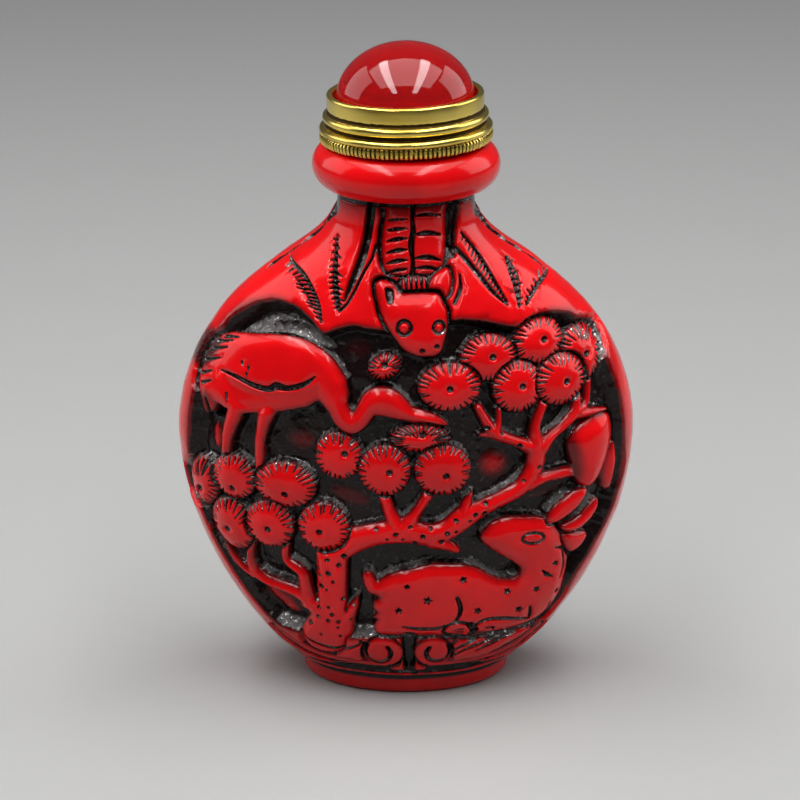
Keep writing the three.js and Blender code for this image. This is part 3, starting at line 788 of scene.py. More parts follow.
@dataclass(frozen=True)
class Deer:
    """The deer that lies at the lower right with its head raised."""

    body: Outline = Outline(
        ((9.1, 22.3), (9.7, 23.3), (10.8, 24.2), (12.5, 24.6), (14.5, 24.3), (16.3, 24),
         (17.5, 23.4), (18.8, 21.6), (19.6, 19.8), (20.1, 17.5), (19.9, 14.5), (19.5, 12.4),
         (18.6, 10.4), (17, 8.9), (14.4, 8.4), (11, 8.4), (7.8, 8.4), (4.4, 8.9), (0, 9),
         (-3.4, 9.1), (-4, 10.2), (-3.6, 11.3), (-4.1, 11.6), (-3.6, 12.2), (-4.1, 13),
         (-3.9, 13.9), (-3.3, 14.5), (-4.6, 15), (-5.2, 16.1), (-5.4, 17.4), (-4.8, 17.9),
         (-4.2, 17.7), (-3.6, 16.7), (-2.9, 17.1), (-1.5, 17.8), (0.5, 18.3), (2.8, 18.9),
         (5, 18.85), (7.2, 18.6), (8.8, 18), (10.2, 17.1), (11.6, 16.3), (13.1, 16),
         (14, 16.4), (14.2, 17.3), (13.3, 18.3), (12, 19.3), (10.6, 20.4), (9.5, 21.4)),
        3,
    )
    ears: tuple = (
        Outline(((17.2, 23.1), (17.6, 24.5), (19, 25.8), (20.8, 26.7), (22.3, 26.6),
                 (21.8, 25.2), (20.5, 23.9), (18.7, 23))),
        Outline(((19.1, 22.3), (21, 22.8), (22.2, 23.8), (23.6, 24.9), (23.8, 23.5), (22.8, 22),
                 (21.4, 21.2), (19.7, 21.3))),
        Outline(((19.2, 20.9), (21.5, 20.8), (22.6, 20), (21.7, 18.5), (20.2, 18.2))),
    )
    spots: Points = (
        (-0.9, 13, 0.55), (2.6, 14.4, 0.75), (6.9, 17, 0.55), (8.7, 12.5, 0.55),
        (12.3, 14.7, 0.55), (13.8, 11.8, 0.6), (0.1, 16.3, 0.35), (15.9, 14.3, 0.5),
        (18.5, 13.1, 0.35), (17.1, 16.2, 0.45), (18.2, 17.5, 0.4),
    )
    lines: tuple = (
        Limb(((6.2, 14.5, 0.22), (6.6, 13.2, 0.26), (6.4, 11.9, 0.22), (5.9, 11.2, 0.15))),
        Limb(((-0.4, 10.7, 0.08), (1.5, 10.35, 0.24), (3.6, 10.3, 0.22), (5, 10.7, 0.2),
              (6.2, 11.05, 0.22), (7.3, 10.8, 0.22), (7.9, 10.1, 0.3))),
        Limb(((4.9, 10.5, 0.15), (4.55, 9.7, 0.2), (5.2, 9, 0.25), (6.8, 8.7, 0.25))),
        Limb(((7.9, 10.6, 0.35), (8.3, 9.7, 0.5), (8.1, 8.8, 0.4))),
        Limb(((8.4, 10.4, 0.15), (9.4, 11, 0.22), (10.8, 11.05, 0.24), (12.8, 10.6, 0.24),
              (15.1, 9.9, 0.16))),
        Limb(((15.2, 11.8, 0.14), (15.2, 10.6, 0.22), (15, 9.9, 0.16))),
        Limb(((8.6, 8.9, 0.2), (10.4, 8.7, 0.25), (12.4, 8.3, 0.22))),
        Limb(((5.9, 9.9, 0.05), (6.9, 9.95, 0.1))),
        Limb(((6.1, 9.4, 0.05), (7, 9.4, 0.1))),
        Limb(((9.7, 9.8, 0.05), (10.6, 9.7, 0.14), (10.7, 9.2, 0.08))),
        Limb(((17.8, 11.5, 0.1), (17.5, 10.2, 0.2), (17.3, 9.2, 0.1))),
        Limb(((19.2, 19.2, 0.08), (19.4, 16.6, 0.14), (18.9, 15, 0.06))),
        Limb(((18.2, 19.7, 0.1), (19.3, 19.2, 0.16), (20.1, 17.8, 0.1))),
        Limb(((16.6, 16.9, 0.06), (17.2, 16.1, 0.18), (17.9, 15.6, 0.06))),
    )
    brow: Disc = Disc(14, 21.6, 4.6, 2.6, -10)
    eye: Ring = Ring(Disc(15.3, 21.7, 1.5, 0.85, -6), Disc(15.3, 21.7, 1.15, 0.52, -6))
    petals: int = 5

    def carve(self, carving: Carving) -> None:
        """Raises the deer, and cuts its eye, spots, ears and folded legs.

        Args:
            carving: The face that is worked on.
        """
        carving.raise_figure(self.body, top=0.0, crown=0.7, soft=2.0)
        carving.swell(self.brow, 0.15, 2.0)
        for ear in self.ears:
            carving.raise_figure(ear, top=-0.1, crown=0.6, soft=0.9, moat=0.3)
        carving.cut(self.eye, 0.32, 0.08, fill=0.85, fill_edge=0.05)
        for x, z, size in self.spots:
            for k in range(self.petals):
                angle = 2 * math.pi * k / self.petals + x
                px, pz = x + 0.62 * size * math.cos(angle), z + 0.62 * size * math.sin(angle)
                carving.cut(Limb(((x, z, 0.16), (px, pz, 0.1)), 1), 0.26, 0.08)
        for line in self.lines:
            carving.cut(line, 0.5, 0.09)


@dataclass(frozen=True)
class Scrolls:
    """The pair of scrolls at the foot, with waves that sweep out from under them."""

    waves: tuple = (
        Limb(((-13.2, 8, 0.06), (-11, 6.95, 0.16), (-9, 6.65, 0.2), (-6.8, 7.1, 0.16),
              (-5.3, 8.1, 0.1))),
        Limb(((5.2, 6.6, 0.1), (7, 7.5, 0.2), (9, 8.3, 0.16))),
        Limb(((5.6, 6, 0.1), (8.4, 7.3, 0.2), (12, 8.2, 0.2), (15.6, 8.5, 0.08))),
        Limb(((8.5, 6.4, 0.06), (10.6, 7.3, 0.26), (13.4, 8.1, 0.08))),
        Limb(((10.2, 5.6, 0.08), (13.4, 6.7, 0.22), (16.2, 8.4, 0.08))),
    )
    gap: Limb = Limb(((0.35, 8.7, 0.9), (0.45, 6.4, 0.8), (0.4, 4.5, 0.75)))
    base_line: Limb = Limb(((-16, 3.6, 0.2), (-8, 3.5, 0.3), (0, 3.5, 0.35), (8, 3.5, 0.3),
                            (16, 3.6, 0.2)))
    band: Points = ((-0.4, 4.45, 0.4), (3, 4.5, 0.38), (7, 4.75, 0.42), (10.4, 5.7, 0.45),
                    (13.4, 7.7, 0.35))
    rolls: Points = ((1, -2.85, 2.5), (-1, 3.35, 2.3))
    spiral_steps: int = 12

    def roll(self, carving: Carving, side: float, middle: float, radius: float) -> None:
        """Raises one scroll with its loose end and cuts its spiral.

        Args:
            carving: The face that is worked on.
            side: 1 if its loose end runs to the left, -1 if to the right.
            middle: Where its middle lies across the face.
            radius: Its radius.
        """
        band = Limb(tuple((middle - side * dx, z, half) for dx, z, half in self.band))
        carving.raise_figure(
            Union((Disc(middle, 6.45, radius, 2.3), band)), top=-0.05, crown=0.4, soft=0.8,
            moat=0.4, moat_depth=0.9,
        )
        turns = []
        for k in range(self.spiral_steps + 1):
            t = k / self.spiral_steps
            angle = math.radians(150 + 250 * t)
            reach = (1.95 - 0.75 * t) * radius / 2.5
            across = middle - side * (0.35 - reach * math.cos(angle))
            turns.append((across, 6.7 + reach * math.sin(angle), 0.26))
        carving.cut(Limb(turns, 2), 0.75, 0.1)
        start = (middle - side * 2.7, 8.2, 0.2)
        carving.cut(Limb((start, (turns[0][0], turns[0][1], 0.3))), 0.8, 0.1)

    def carve(self, carving: Carving) -> None:
        """Cuts the gap between the scrolls, raises both, and cuts the waves.

        Args:
            carving: The face that is worked on.
        """
        carving.cut(self.gap, 1.3, 0.25)
        for wave in self.waves:
            carving.cut(wave, 0.5, 0.09)
        for side, middle, radius in self.rolls:
            self.roll(carving, side, middle, radius)
        carving.cut(self.base_line, 0.5, 0.15)


@dataclass(frozen=True)
class Bat:
    """The bat that hangs head down over the shoulders."""

    head: Outline = Outline(
        ((-3.75, 53.2), (-3.4, 53.8), (-2.7, 53.95), (-1.6, 53.6), (-0.8, 52.6), (0.4, 52.45),
         (2.2, 52.5), (3.8, 52.4), (4.4, 51.5), (4.9, 50.4), (4.95, 49.2), (4.7, 47.6),
         (4.3, 46.1), (3.6, 45.4), (2.4, 45.25), (1.1, 45.4), (-0.2, 46), (-1.4, 47.4),
         (-2.6, 49.2), (-3.3, 51))
    )
    ear: Outline = Outline(
        ((2.7, 52.9), (3, 54.1), (3.9, 54.9), (5, 55.15), (5.45, 54.2), (5.35, 52.9),
         (4.7, 51.9), (3.6, 52.2))
    )
    trunk: Outline = Outline(
        ((-2.2, 62.6), (-2.9, 60.6), (-3.25, 58.4), (-3.1, 56.4), (-2.5, 54.9), (-0.5, 54.6),
         (2, 54.6), (3.9, 54.9), (4.8, 56), (5.25, 58.2), (5.3, 60.4), (4.9, 62.6))
    )
    ribs: Points = ((60.5, 0.14), (59.4, 0.2), (58.3, 0.2), (57.1, 0.22), (56, 0.2), (55.1, 0.14))
    folds: tuple = (
        Limb(((-7.4, 51.4, 0.1), (-6.6, 53.2, 0.34), (-5.5, 55.6, 0.5), (-4.7, 58.4, 0.5),
              (-4.1, 62.6, 0.5))),
        Limb(((5.9, 62.6, 0.45), (5.9, 60, 0.4), (5.6, 58, 0.35), (5.5, 56.4, 0.4))),
    )
    feathers: tuple = (
        Feather(((-13.9, 54.2, 0.1), (-12.2, 53.4, 0.2), (-11, 51.9, 0.2), (-10.3, 50.4, 0.16),
                 (-10.05, 48.8, 0.1)), 14, 1.5, -120.0),
        Feather(((-8.2, 57.7, 0.1), (-8.4, 55, 0.22), (-8.4, 52.6, 0.26), (-8.0, 50.4, 0.2)),
                13, 0.95, -70.0),
        Feather(((-8.2, 57.0, 0.1), (-8.3, 54.6, 0.16), (-8.2, 52.4, 0.16), (-7.9, 50.8, 0.1)),
                9, 0.7, 65.0),
        Feather(((6.5, 58.4, 0.1), (8.2, 56.4, 0.16), (9.6, 54.4, 0.18), (10.9, 52.4, 0.16),
                 (12, 50.7, 0.08)), 16, 0.8, -70.0),
        Feather(((11.9, 54.9, 0.1), (12.4, 53.6, 0.16), (13, 51.9, 0.16), (13.4, 50, 0.08)),
                9, 0.75, 75.0),
        Feather(((14.3, 50.1, 0.1), (15, 51, 0.2), (16, 51.8, 0.2), (17.3, 52.2, 0.1)), 8, 0.8,
                80.0),
    )
    lines: tuple = (
        Limb(((-7.9, 50.2, 0.15), (-6.9, 51.2, 0.14), (-5.9, 52.9, 0.14), (-5, 54.6, 0.14),
              (-4.1, 56, 0.14), (-3.6, 57.4, 0.2))),
        Limb(((5.3, 57.7, 0.2), (6.6, 56.2, 0.26), (8.4, 54.2, 0.24), (10.2, 52.1, 0.2),
              (12, 50.4, 0.06))),
        Limb(((12.1, 54.9, 0.05), (13.3, 52.8, 0.14), (13.5, 50.1, 0.06))),
        Limb(((-13.2, 52.9, 0.05), (-12, 51.8, 0.1), (-11.2, 50.4, 0.06))),
        Limb(((6.3, 54.2, 0.1), (6.4, 52.8, 0.22), (5.7, 51.2, 0.2))),
    )
    right_ribs: Points = ((58.75, 0.26), (56.2, 0.24), (60.9, 0.16), (55.2, 0.16))
    spine: Limb = Limb(((0.95, 62.4, 0.36), (0.75, 60.6, 0.2), (0.85, 59.2, 0.3), (0.6, 57.6, 0.34),
                        (0.8, 56, 0.2), (0.8, 54.6, 0.34)))
    tuft: Outline = Outline(((-1, 52.4), (-0.9, 53.7), (0, 54.4), (1.6, 54.5), (2.8, 54.1), (3, 52.4)))
    hairs: int = 6
    slit: Outline = Outline(((-2.5, 52.9), (-1.7, 52.9), (-1.5, 52), (-1.7, 51.3), (-2.2, 51.4)))
    eyes: Points = ((-0.25, 48.6, 1.0), (3.85, 48.6, 0.85))
    nostrils: Points = ((3.6, 46.4), (1.9, 45.95))

    def carve(self, carving: Carving) -> None:
        """Cuts the wings' folds and feathers, then lays the trunk, hair, ears and head.

        Args:
            carving: The face that is worked on.
        """
        for fold in self.folds:
            carving.cut(fold, 1.15, 0.18)
        for line in self.lines:
            carving.cut(line, 0.6, 0.1)
        for feather in self.feathers:
            feather.carve(carving)
        carving.raise_figure(
            self.trunk, top=-0.25, crown=0.9, soft=2.6, moat=0.5, moat_depth=1.5
        )
        for z, half in self.ribs:
            carving.cut(Limb(((0.1, z + 0.1, 0.04), (-1.1, z, half), (-2.5, z - 0.3, 0.04)), 3),
                        0.55, 0.1)
        for z, half in self.right_ribs:
            carving.cut(Limb(((1.1, z + 0.05, 0.08), (2.6, z + 0.15, half), (4.4, z - 0.2, 0.05)), 3),
                        0.55, 0.1)
        carving.cut(self.spine, 0.9, 0.14)
        carving.raise_figure(self.tuft, top=-0.45, crown=0.3, soft=0.5, moat=0.4, moat_depth=1.4)
        for k in range(self.hairs):
            x = -0.7 + 0.62 * k
            carving.cut(Limb(((x, 54.4, 0.2), (x + 0.1, 52.8, 0.1)), 1), 0.5, 0.08)
        carving.raise_figure(self.ear, top=0.0, crown=0.5, soft=0.9, moat=0.45, moat_depth=1.3)
        carving.raise_figure(self.head, top=0.35, crown=0.8, soft=2.2, moat=0.6, moat_depth=1.9)
        carving.cut(self.slit, 0.8, 0.16)
        for x, z, size in self.eyes:
            carving.cut(Disc(x, z, size, size), 0.42, 0.12)
            carving.bead(Disc(x, z, 0.66 * size, 0.66 * size), 0.5)
        for x, z in self.nostrils:
            carving.cut(Disc(x, z, 0.3, 0.26), 0.45, 0.12)


@dataclass(frozen=True)
class FrontFace:
    """Everything on the front: the sunk panel and its figures from back to front."""

    panel: Outline = Outline(
        ((-16.4, 8.8), (-18.6, 11.4), (-20.8, 14.6), (-22.8, 18), (-24.6, 21.8), (-25.9, 25.5),
         (-26.5, 29.5), (-26.5, 33.5), (-26, 37.5), (-25, 41), (-23.4, 44.3), (-21.3, 47.1),
         (-18.7, 49.2), (-15.8, 50.4), (-13.2, 50.2), (-11.4, 49.1), (-10.2, 47.9), (-9.6, 47.7),
         (-8.4, 48.2), (-6.3, 48.8), (-4.2, 48.5), (0, 48.4), (5.5, 49.4), (8, 49.3),
         (10.5, 48.7), (12.6, 48.15), (14, 48.15), (16, 48.9), (18.6, 48.6), (20.8, 47.3),
         (22.7, 45), (24.3, 42.2), (25.5, 39), (26.3, 35.5), (26.6, 31.5), (26.6, 27.8),
         (25.9, 24.4), (24.5, 21), (22.7, 17.8), (20.9, 14.8), (19.3, 11.8), (17.7, 9.6),
         (16, 8.8), (10, 8.5), (5, 8.5), (0, 8.8), (-4, 8.7), (-6.5, 8.5), (-9, 8.3),
         (-12, 8.2), (-14.4, 8.2)),
        3,
    )
    edge_line: Limb = Limb(
        ((-25.9, 25.4, 0.08), (-24.7, 22, 0.2), (-22.9, 18.1, 0.24), (-20.9, 14.7, 0.24),
         (-18.8, 11.6, 0.2), (-17, 9.5, 0.08))
    )
    wiped: tuple = (
        (Disc(10.8, 31.3, 2.6, 2.4), 0.75, 2.2),
        (Disc(-24.1, 32.9, 0.9, 2.0), 0.9, 0.8),
        (Disc(-16.2, 11.5, 3.4, 1.6, -36), 0.85, 1.5),
        (Disc(-13, 34.2, 2.4, 1.8), 0.3, 1.6),
        (Disc(-7, 27.4, 3.2, 1.6, -20), 0.28, 1.4),
        (Disc(-6, 46, 2.2, 1.8), 0.14, 1.6),
        (Disc(17.4, 26.8, 3.2, 1.0, 12), 0.18, 0.9),
    )

    def carve(self, carving: Carving) -> None:
        """Works the face from the ground up to the foremost figures.

        Args:
            carving: The face that is worked on.
        """
        carving.sink(self.panel)
        for disc, amount, soft in self.wiped:
            carving.swell(disc, 0.3 * amount, soft)
        pine = Pine()
        pine.carve_wood(carving)
        Rocks().carve(carving)
        Crane().carve(carving)
        pine.carve_pads(carving)
        Deer().carve(carving)
        Scrolls().carve(carving)
        carving.cut(self.edge_line, 0.6, 0.12)
        Bat().carve(carving)
        carving.roughen()
        for disc, amount, soft in self.wiped:
            carving.wipe(disc, amount, soft)


@dataclass(frozen=True)
class BackFace:
    """The back: a plainer panel with a pine alone, in the same manner."""

    panel: Outline = Outline(
        ((-16.2, 9.4), (-22.4, 17.6), (-26, 29), (-23.8, 40.6), (-17.4, 47.6), (-9, 48.4),
         (0, 46.4), (9, 48.4), (17.4, 47.6), (23.8, 40.6), (26, 29), (22.4, 17.6), (16.2, 9.4),
         (0, 8.6)),
        6,
    )
    wood: tuple = (
        Limb(((0.6, 8.4, 3.4), (0.4, 14, 2.0), (-1.6, 21, 1.9), (2.2, 28, 1.6), (0.4, 38, 1.0))),
        Limb(((-1, 20, 1.4), (-8, 23.4, 1.2), (-14, 23, 0.8))),
        Limb(((1, 26.6, 1.3), (8, 28, 1.1), (14.6, 27, 0.8))),
        Limb(((1.4, 30, 1.2), (-6, 33.6, 1.0), (-12, 34, 0.7))),
        Limb(((1.2, 33, 1.0), (8, 36.6, 0.9), (13, 37, 0.6))),
    )
    banks: tuple = (
        Outline(((-16, 10), (-14.5, 13), (-11.5, 14), (-8.6, 12.6), (-6.4, 10.4), (-5.6, 8.4),
                 (-10, 8), (-14, 8.2))),
        Outline(((3.6, 8.3), (5, 10.6), (8, 11.6), (10.8, 10.8), (12.4, 8.9), (8, 7.9))),
        Outline(((10.6, 8.8), (12, 12.4), (15, 14.2), (17.6, 13), (17.4, 10.6), (15.8, 8.8))),
    )
    feathers: tuple = tuple(
        feather
        for side in (-1, 1)
        for feather in (
            Feather(tuple((side * x, z, half) for x, z, half in (
                (7.6, 58, 0.1), (9.2, 56, 0.2), (10.6, 53.6, 0.2), (11.4, 51, 0.1))),
                13, 0.9, -side * 70.0),
            Feather(tuple((side * x, z, half) for x, z, half in (
                (12.2, 55, 0.1), (13.6, 53.4, 0.2), (14.8, 51.4, 0.16), (15.2, 50, 0.08))),
                9, 0.8, -side * 70.0),
        )
    )
    pads: tuple = (
        PinePad(-15.6, 24, 4, 3.4),
        PinePad(-8.4, 25.6, 3.8, 3.3),
        PinePad(16, 28, 4, 3.4),
        PinePad(9, 30, 3.8, 3.2),
        PinePad(-13.4, 36.8, 4, 3.2),
        PinePad(-6.2, 38.4, 3.8, 3.2),
        PinePad(13.6, 39.4, 4, 3.2),
        PinePad(0.8, 39.8, 3.8, 3.2),
        PinePad(7.2, 41.4, 3.6, 3.0),
    )
    neck_lines: tuple = (-4.2, 0.0, 4.2)

    def carve(self, carving: Carving) -> None:
        """Works the face from the ground up to the pads.

        Args:
            carving: The face that is worked on.
        """
        carving.sink(self.panel)
        carving.raise_figure(Union(self.wood), top=-0.1, crown=0.75, soft=1.3, moat=0.0)
        for k, limb in enumerate(self.wood):
            pitted(carving, limb, 1.3, 60 + k)
        for bank in self.banks:
            carving.raise_figure(bank, top=-0.5, crown=0.9, soft=2.2)
            carving.shade(bank, 0.8, 1.6)
        for pad in self.pads:
            pad.carve(carving)
        Scrolls().carve(carving)
        for feather in self.feathers:
            feather.carve(carving)
        for x in self.neck_lines:
            line = Limb(((x, 62.6, 0.4), (1.15 * x, 58.5, 0.4), (1.7 * x, 54.5, 0.1)))
            carving.cut(line, 0.8, 0.16)
        carving.roughen()


# ------------------------------------------------------------------ the bottle's body


@dataclass(frozen=True)
class BodyForm:
    """The plain outside of the bottle: ovals through named stations."""

    stations: Points = (
        (0.0, 12.1, 8.9), (0.5, 12.7, 9.4), (1.8, 12.8, 9.6), (2.1, 13.1, 9.9),
        (3.7, 14.9, 11.0), (5.3, 16.7, 12.0), (8.3, 19.2, 13.1), (13.0, 22.3, 14.2),
        (19.0, 25.2, 14.9), (25.0, 27.1, 15.2), (31.5, 27.9, 15.3), (36.5, 27.4, 15.15),
        (41.0, 26.0, 14.7), (45.5, 23.6, 14.0), (49.5, 20.2, 13.0), (53.2, 15.8, 11.6),
        (56.2, 11.6, 10.1), (58.6, 9.3, 9.2), (61.5, 9.0, 9.0),
    )
    lip_ring: float = 8.45
    lip_tube: float = 2.85
    lip_height: float = 65.2
    neck: float = 9.0
    bore: float = 4.6
    wall: float = 4.6
    cavity: Points = ((57.5, 0.0), (54.0, 4.6), (47.0, 4.6), (40.0, 4.6), (31.5, 4.6),
                      (22.0, 4.6), (14.0, 4.6), (7.5, 4.6))
    cavity_floor: float = 5.6
    mouth: tuple = (7.2, 6.0, 5.2, 4.75)
    bore_heights: tuple = (67.9, 66.0, 62.0, 59.0)
    foot_wall: float = 2.4
    foot_recess: float = 0.8

    def size(self, z: float | np.ndarray, column: int) -> np.ndarray:
        """Measures the oval at heights.

        Args:
            z: The heights.
            column: 1 for half widths, 2 for half depths.

        Returns:
            The measures.
        """
        s = np.asarray(self.stations, float)
        zs, v = s[:, 0], s[:, column]
        low = np.maximum(np.arange(len(s)) - 1, 0)
        high = np.minimum(np.arange(len(s)) + 1, len(s) - 1)
        slope = (v[high] - v[low]) / (zs[high] - zs[low])
        z = np.clip(z, zs[0], zs[-1])
        i = np.clip(np.searchsorted(zs, z, side="right") - 1, 0, len(s) - 2)
        h = zs[i + 1] - zs[i]
        t = (z - zs[i]) / h
        return (
            (2 * t**3 - 3 * t**2 + 1) * v[i]
            + (t**3 - 2 * t**2 + t) * h * slope[i]
            + (3 * t**2 - 2 * t**3) * v[i + 1]
            + (t**3 - t**2) * h * slope[i + 1]
        )


@dataclass
class Bottle:
    """The resin casting: body, foot, neck, lip and hollow, with all its relief."""

    form: BodyForm = field(default_factory=BodyForm)
    front_columns: int = 560
    back_columns: int = 300
    row_step: float = 0.115
    triangles: int = 196000
    relief_bottom: float = 2.0
    relief_top: float = 62.5
    # painted shadow: strength of the darkening just below the lip
    neck_painted_shadow: float = 0.22
    # painted shade: strength of the darkening towards the foot
    foot_painted_shade: float = 0.1
    groove_height: float = 2.45
    groove_depth: float = 0.35
    under_lip_height: float = 62.25
    under_lip_depth: float = 0.25

    def angles(self) -> np.ndarray:
        """Spaces the columns evenly along the widest oval's edge.

        Returns:
            Their angles, the front's first.
        """
        _, a, b = max(self.form.stations, key=lambda station: station[1])
        fine = np.linspace(0.0, math.pi, 4001)
        edge = np.hypot(a * np.sin(fine), b * np.cos(fine))
        along = np.concatenate([[0.0], np.cumsum(0.5 * (edge[1:] + edge[:-1]))])
        along /= along[-1]
        front = np.interp(np.arange(self.front_columns) / self.front_columns, along, fine)
        back = np.interp(np.arange(self.back_columns) / self.back_columns, along, fine)
        return np.concatenate([front + math.pi, back])

    def rows(self) -> np.ndarray:
        """Lays out the outer rows from the foot's rim to the bore.

        Returns:
            Height, half width and half depth of each row.
        """
        form = self.form
        rows = []
        for z in (0.0, 0.12, 0.3, 0.6, 0.9, 1.2, 1.5, 1.75, 1.95):
            rows.append((z, form.size(z, 1), form.size(z, 2)))
        z = 2.1
        while z < 62.3:
            a, b = float(form.size(z, 1)), float(form.size(z, 2))
            rows.append((z, a, b))
            step = 0.1
            slope = max(abs(form.size(z + step, 1) - a), abs(form.size(z + step, 2) - b)) / step
            z += self.row_step / math.sqrt(1.0 + 0.7 * slope**2)
        start = -math.acos((form.neck - form.lip_ring) / form.lip_tube)
        for t in np.linspace(0.0, 1.0, 34):
            angle = start + (math.pi / 2 - start) * t
            r = form.lip_ring + form.lip_tube * math.cos(angle)
            rows.append((form.lip_height + form.lip_tube * math.sin(angle), r, r))
        return np.array(rows)

    def neck_ground(self, x: np.ndarray, y: np.ndarray, z: np.ndarray, height: np.ndarray,
                    patina: np.ndarray) -> None:
        """Sinks the sides of the neck and the ridge of the shoulders, and blackens them.

        Args:
            x: Points across.
            y: Points from front to back.
            z: Points up.
            height: The relief, changed in place.
            patina: The patina, changed in place.
        """
        limit = np.interp(z, (54.6, 55.8, 57, 58.5, 60, 62), (14.4, 12.7, 10.7, 9.0, 8.1, 7.7))
        d = np.abs(x) - limit + 0.12 * Grain(8, 0.7).at(x * 3, z)
        within = (z > 54.4) & (z < 62.4)
        height -= np.where(within, 0.75 * smooth(d / 0.4), 0.0)
        patina[:] = np.where(within, np.maximum(patina, smooth((d - 0.05) / 0.15)), patina)
        ragged = Grain(9, 1.1).at(x, z)
        half = 0.45 + 0.35 * Grain(10, 1.6).at(x, z) - 0.35 * np.clip(53.5 - z, 0, 4)
        seam = np.abs(y + 0.9 + 0.35 * ragged) - half
        seam = np.where((z > 50.5) & (z < 58.0), seam, np.inf)
        height -= 0.5 * smooth((0.15 - seam) / 0.35)
        patina[:] = np.maximum(patina, smooth((0.1 - seam) / 0.15))

    def relief(self, x: np.ndarray, y: np.ndarray,
               z: np.ndarray) -> tuple[np.ndarray, np.ndarray, np.ndarray]:
        """Works both faces, the sides and the foot.

        Args:
            x: Points across.
            y: Points from front to back.
            z: Points up.

        Returns:
            At each point the height, the patina and how far that is wiped off.
        """
        height, patina, wiped = (np.zeros(x.shape) for _ in range(3))
        for side, face in ((Side.FRONT, FrontFace()), (Side.BACK, BackFace())):
            part = (y * side.value >= 0) & (z > self.relief_bottom) & (z < self.relief_top)
            carving = Carving(x[part], z[part])
            face.carve(carving)
            height[part] = carving.height
            patina[part] = carving.patina
            wiped[part] = carving.wiped
        self.neck_ground(x, y, z, height, patina)
        # painted shadow: the neck darkens just below the lip, as if the lip shaded it
        patina = np.maximum(patina, self.neck_painted_shadow * smooth((z - 59.4) / 2.4) * (z < 62.4))
        # painted shade: the red darkens towards the foot
        patina = np.maximum(patina, self.foot_painted_shade * smooth((15.0 - z) / 11.0))
        groove = smooth((0.55 - np.abs(z - self.groove_height)) / 0.3)
        height -= self.groove_depth * groove
        under_lip = smooth((0.45 - np.abs(z - self.under_lip_height)) / 0.25)
        height -= self.under_lip_depth * under_lip
        return height, np.maximum(patina, np.maximum(groove, under_lip)), wiped

    def hollow(self, theta: np.ndarray) -> list[np.ndarray]:
        """Lays rings of points down the mouth, the bore and the cavity.

        Args:
            theta: The columns' angles.

        Returns:
            The rings, the highest first.
        """
        form = self.form
        rim = form.lip_height + form.lip_tube
        rings = [self.ring(theta, rim, radius, radius) for radius in form.mouth]
        rings += [self.ring(theta, z, form.bore, form.bore) for z in form.bore_heights]
        for z, wall in form.cavity:
            a = form.bore if wall == 0 else float(form.size(z, 1)) - wall
            b = form.bore if wall == 0 else float(form.size(z, 2)) - wall
            rings.append(self.ring(theta, z, a, b))
        lowest = form.cavity[-1][0]
        a = 0.75 * (float(form.size(lowest, 1)) - form.wall)
        b = 0.7 * (float(form.size(lowest, 2)) - form.wall)
        rings.append(self.ring(theta, form.cavity_floor, a, b))
        return rings

    def foot(self, theta: np.ndarray) -> list[np.ndarray]:
        """Lays rings of points round the recess below the foot.

        Args:
            theta: The columns' angles.

        Returns:
            The rings, the innermost first.
        """
        form = self.form
        a, b = form.stations[0][1] - form.foot_wall, form.stations[0][2] - form.foot_wall
        recess, step, rim = (form.foot_recess, 0.0), (0.1, 0.1), (0.0, 0.3)
        return [self.ring(theta, z, a + out, b + out) for z, out in (recess, step, rim)]

    @staticmethod
    def skin(points: np.ndarray, rings: int, columns: int) -> bpy.types.Mesh:
        """Joins rings of points to one closed mesh.

        Args:
            points: The rings, then one point that closes the first and one for the last.
            rings: How many rings there are.
            columns: Points in a ring.

        Returns:
            The mesh, in metres.
        """
        i = np.arange(rings - 1)[:, None] * columns
        j = np.arange(columns)[None, :]
        k = (np.arange(columns) + 1)[None, :] % columns
        quads = np.stack([i + j, i + k, i + columns + k, i + columns + j], axis=-1).reshape(-1, 4)
        below, above = len(points) - 2, len(points) - 1
        last = (rings - 1) * columns
        j, k = j.ravel(), k.ravel()
        low_cap = np.stack([np.full(columns, below), k, j], axis=-1)
        high_cap = np.stack([np.full(columns, above), last + j, last + k], axis=-1)
        loops = np.concatenate([quads.ravel(), low_cap.ravel(), high_cap.ravel()])
        starts = np.concatenate([
            np.arange(len(quads)) * 4,
            len(quads) * 4 + np.arange(2 * columns) * 3,
        ])
        mesh = bpy.data.meshes.new("bottle_casting")
        mesh.vertices.add(len(points))
        mesh.vertices.foreach_set("co", (points * MM).ravel())
        mesh.loops.add(len(loops))
        mesh.loops.foreach_set("vertex_index", loops)
        mesh.polygons.add(len(starts))
        mesh.polygons.foreach_set("loop_start", starts)
        mesh.update(calc_edges=True)
        return mesh

    def build(self) -> bpy.types.Object:
        """Builds the casting as one mesh with the attributes patina and wiped, and one for a painted
        sheen on faces that lean upwards.

        Returns:
            The object.
        """
        theta, rows = self.angles(), self.rows()
        x = rows[:, 1:2] * np.cos(theta)[None, :]
        y = rows[:, 2:3] * np.sin(theta)[None, :]
        z = np.repeat(rows[:, 0:1], len(theta), axis=1)
        base = np.stack([x, y, z], axis=-1)
        height, patina, wiped = self.relief(x, y, z)
        surface = base + self.facing(base) * height[..., None]
        lean = self.facing(surface)[..., 2]
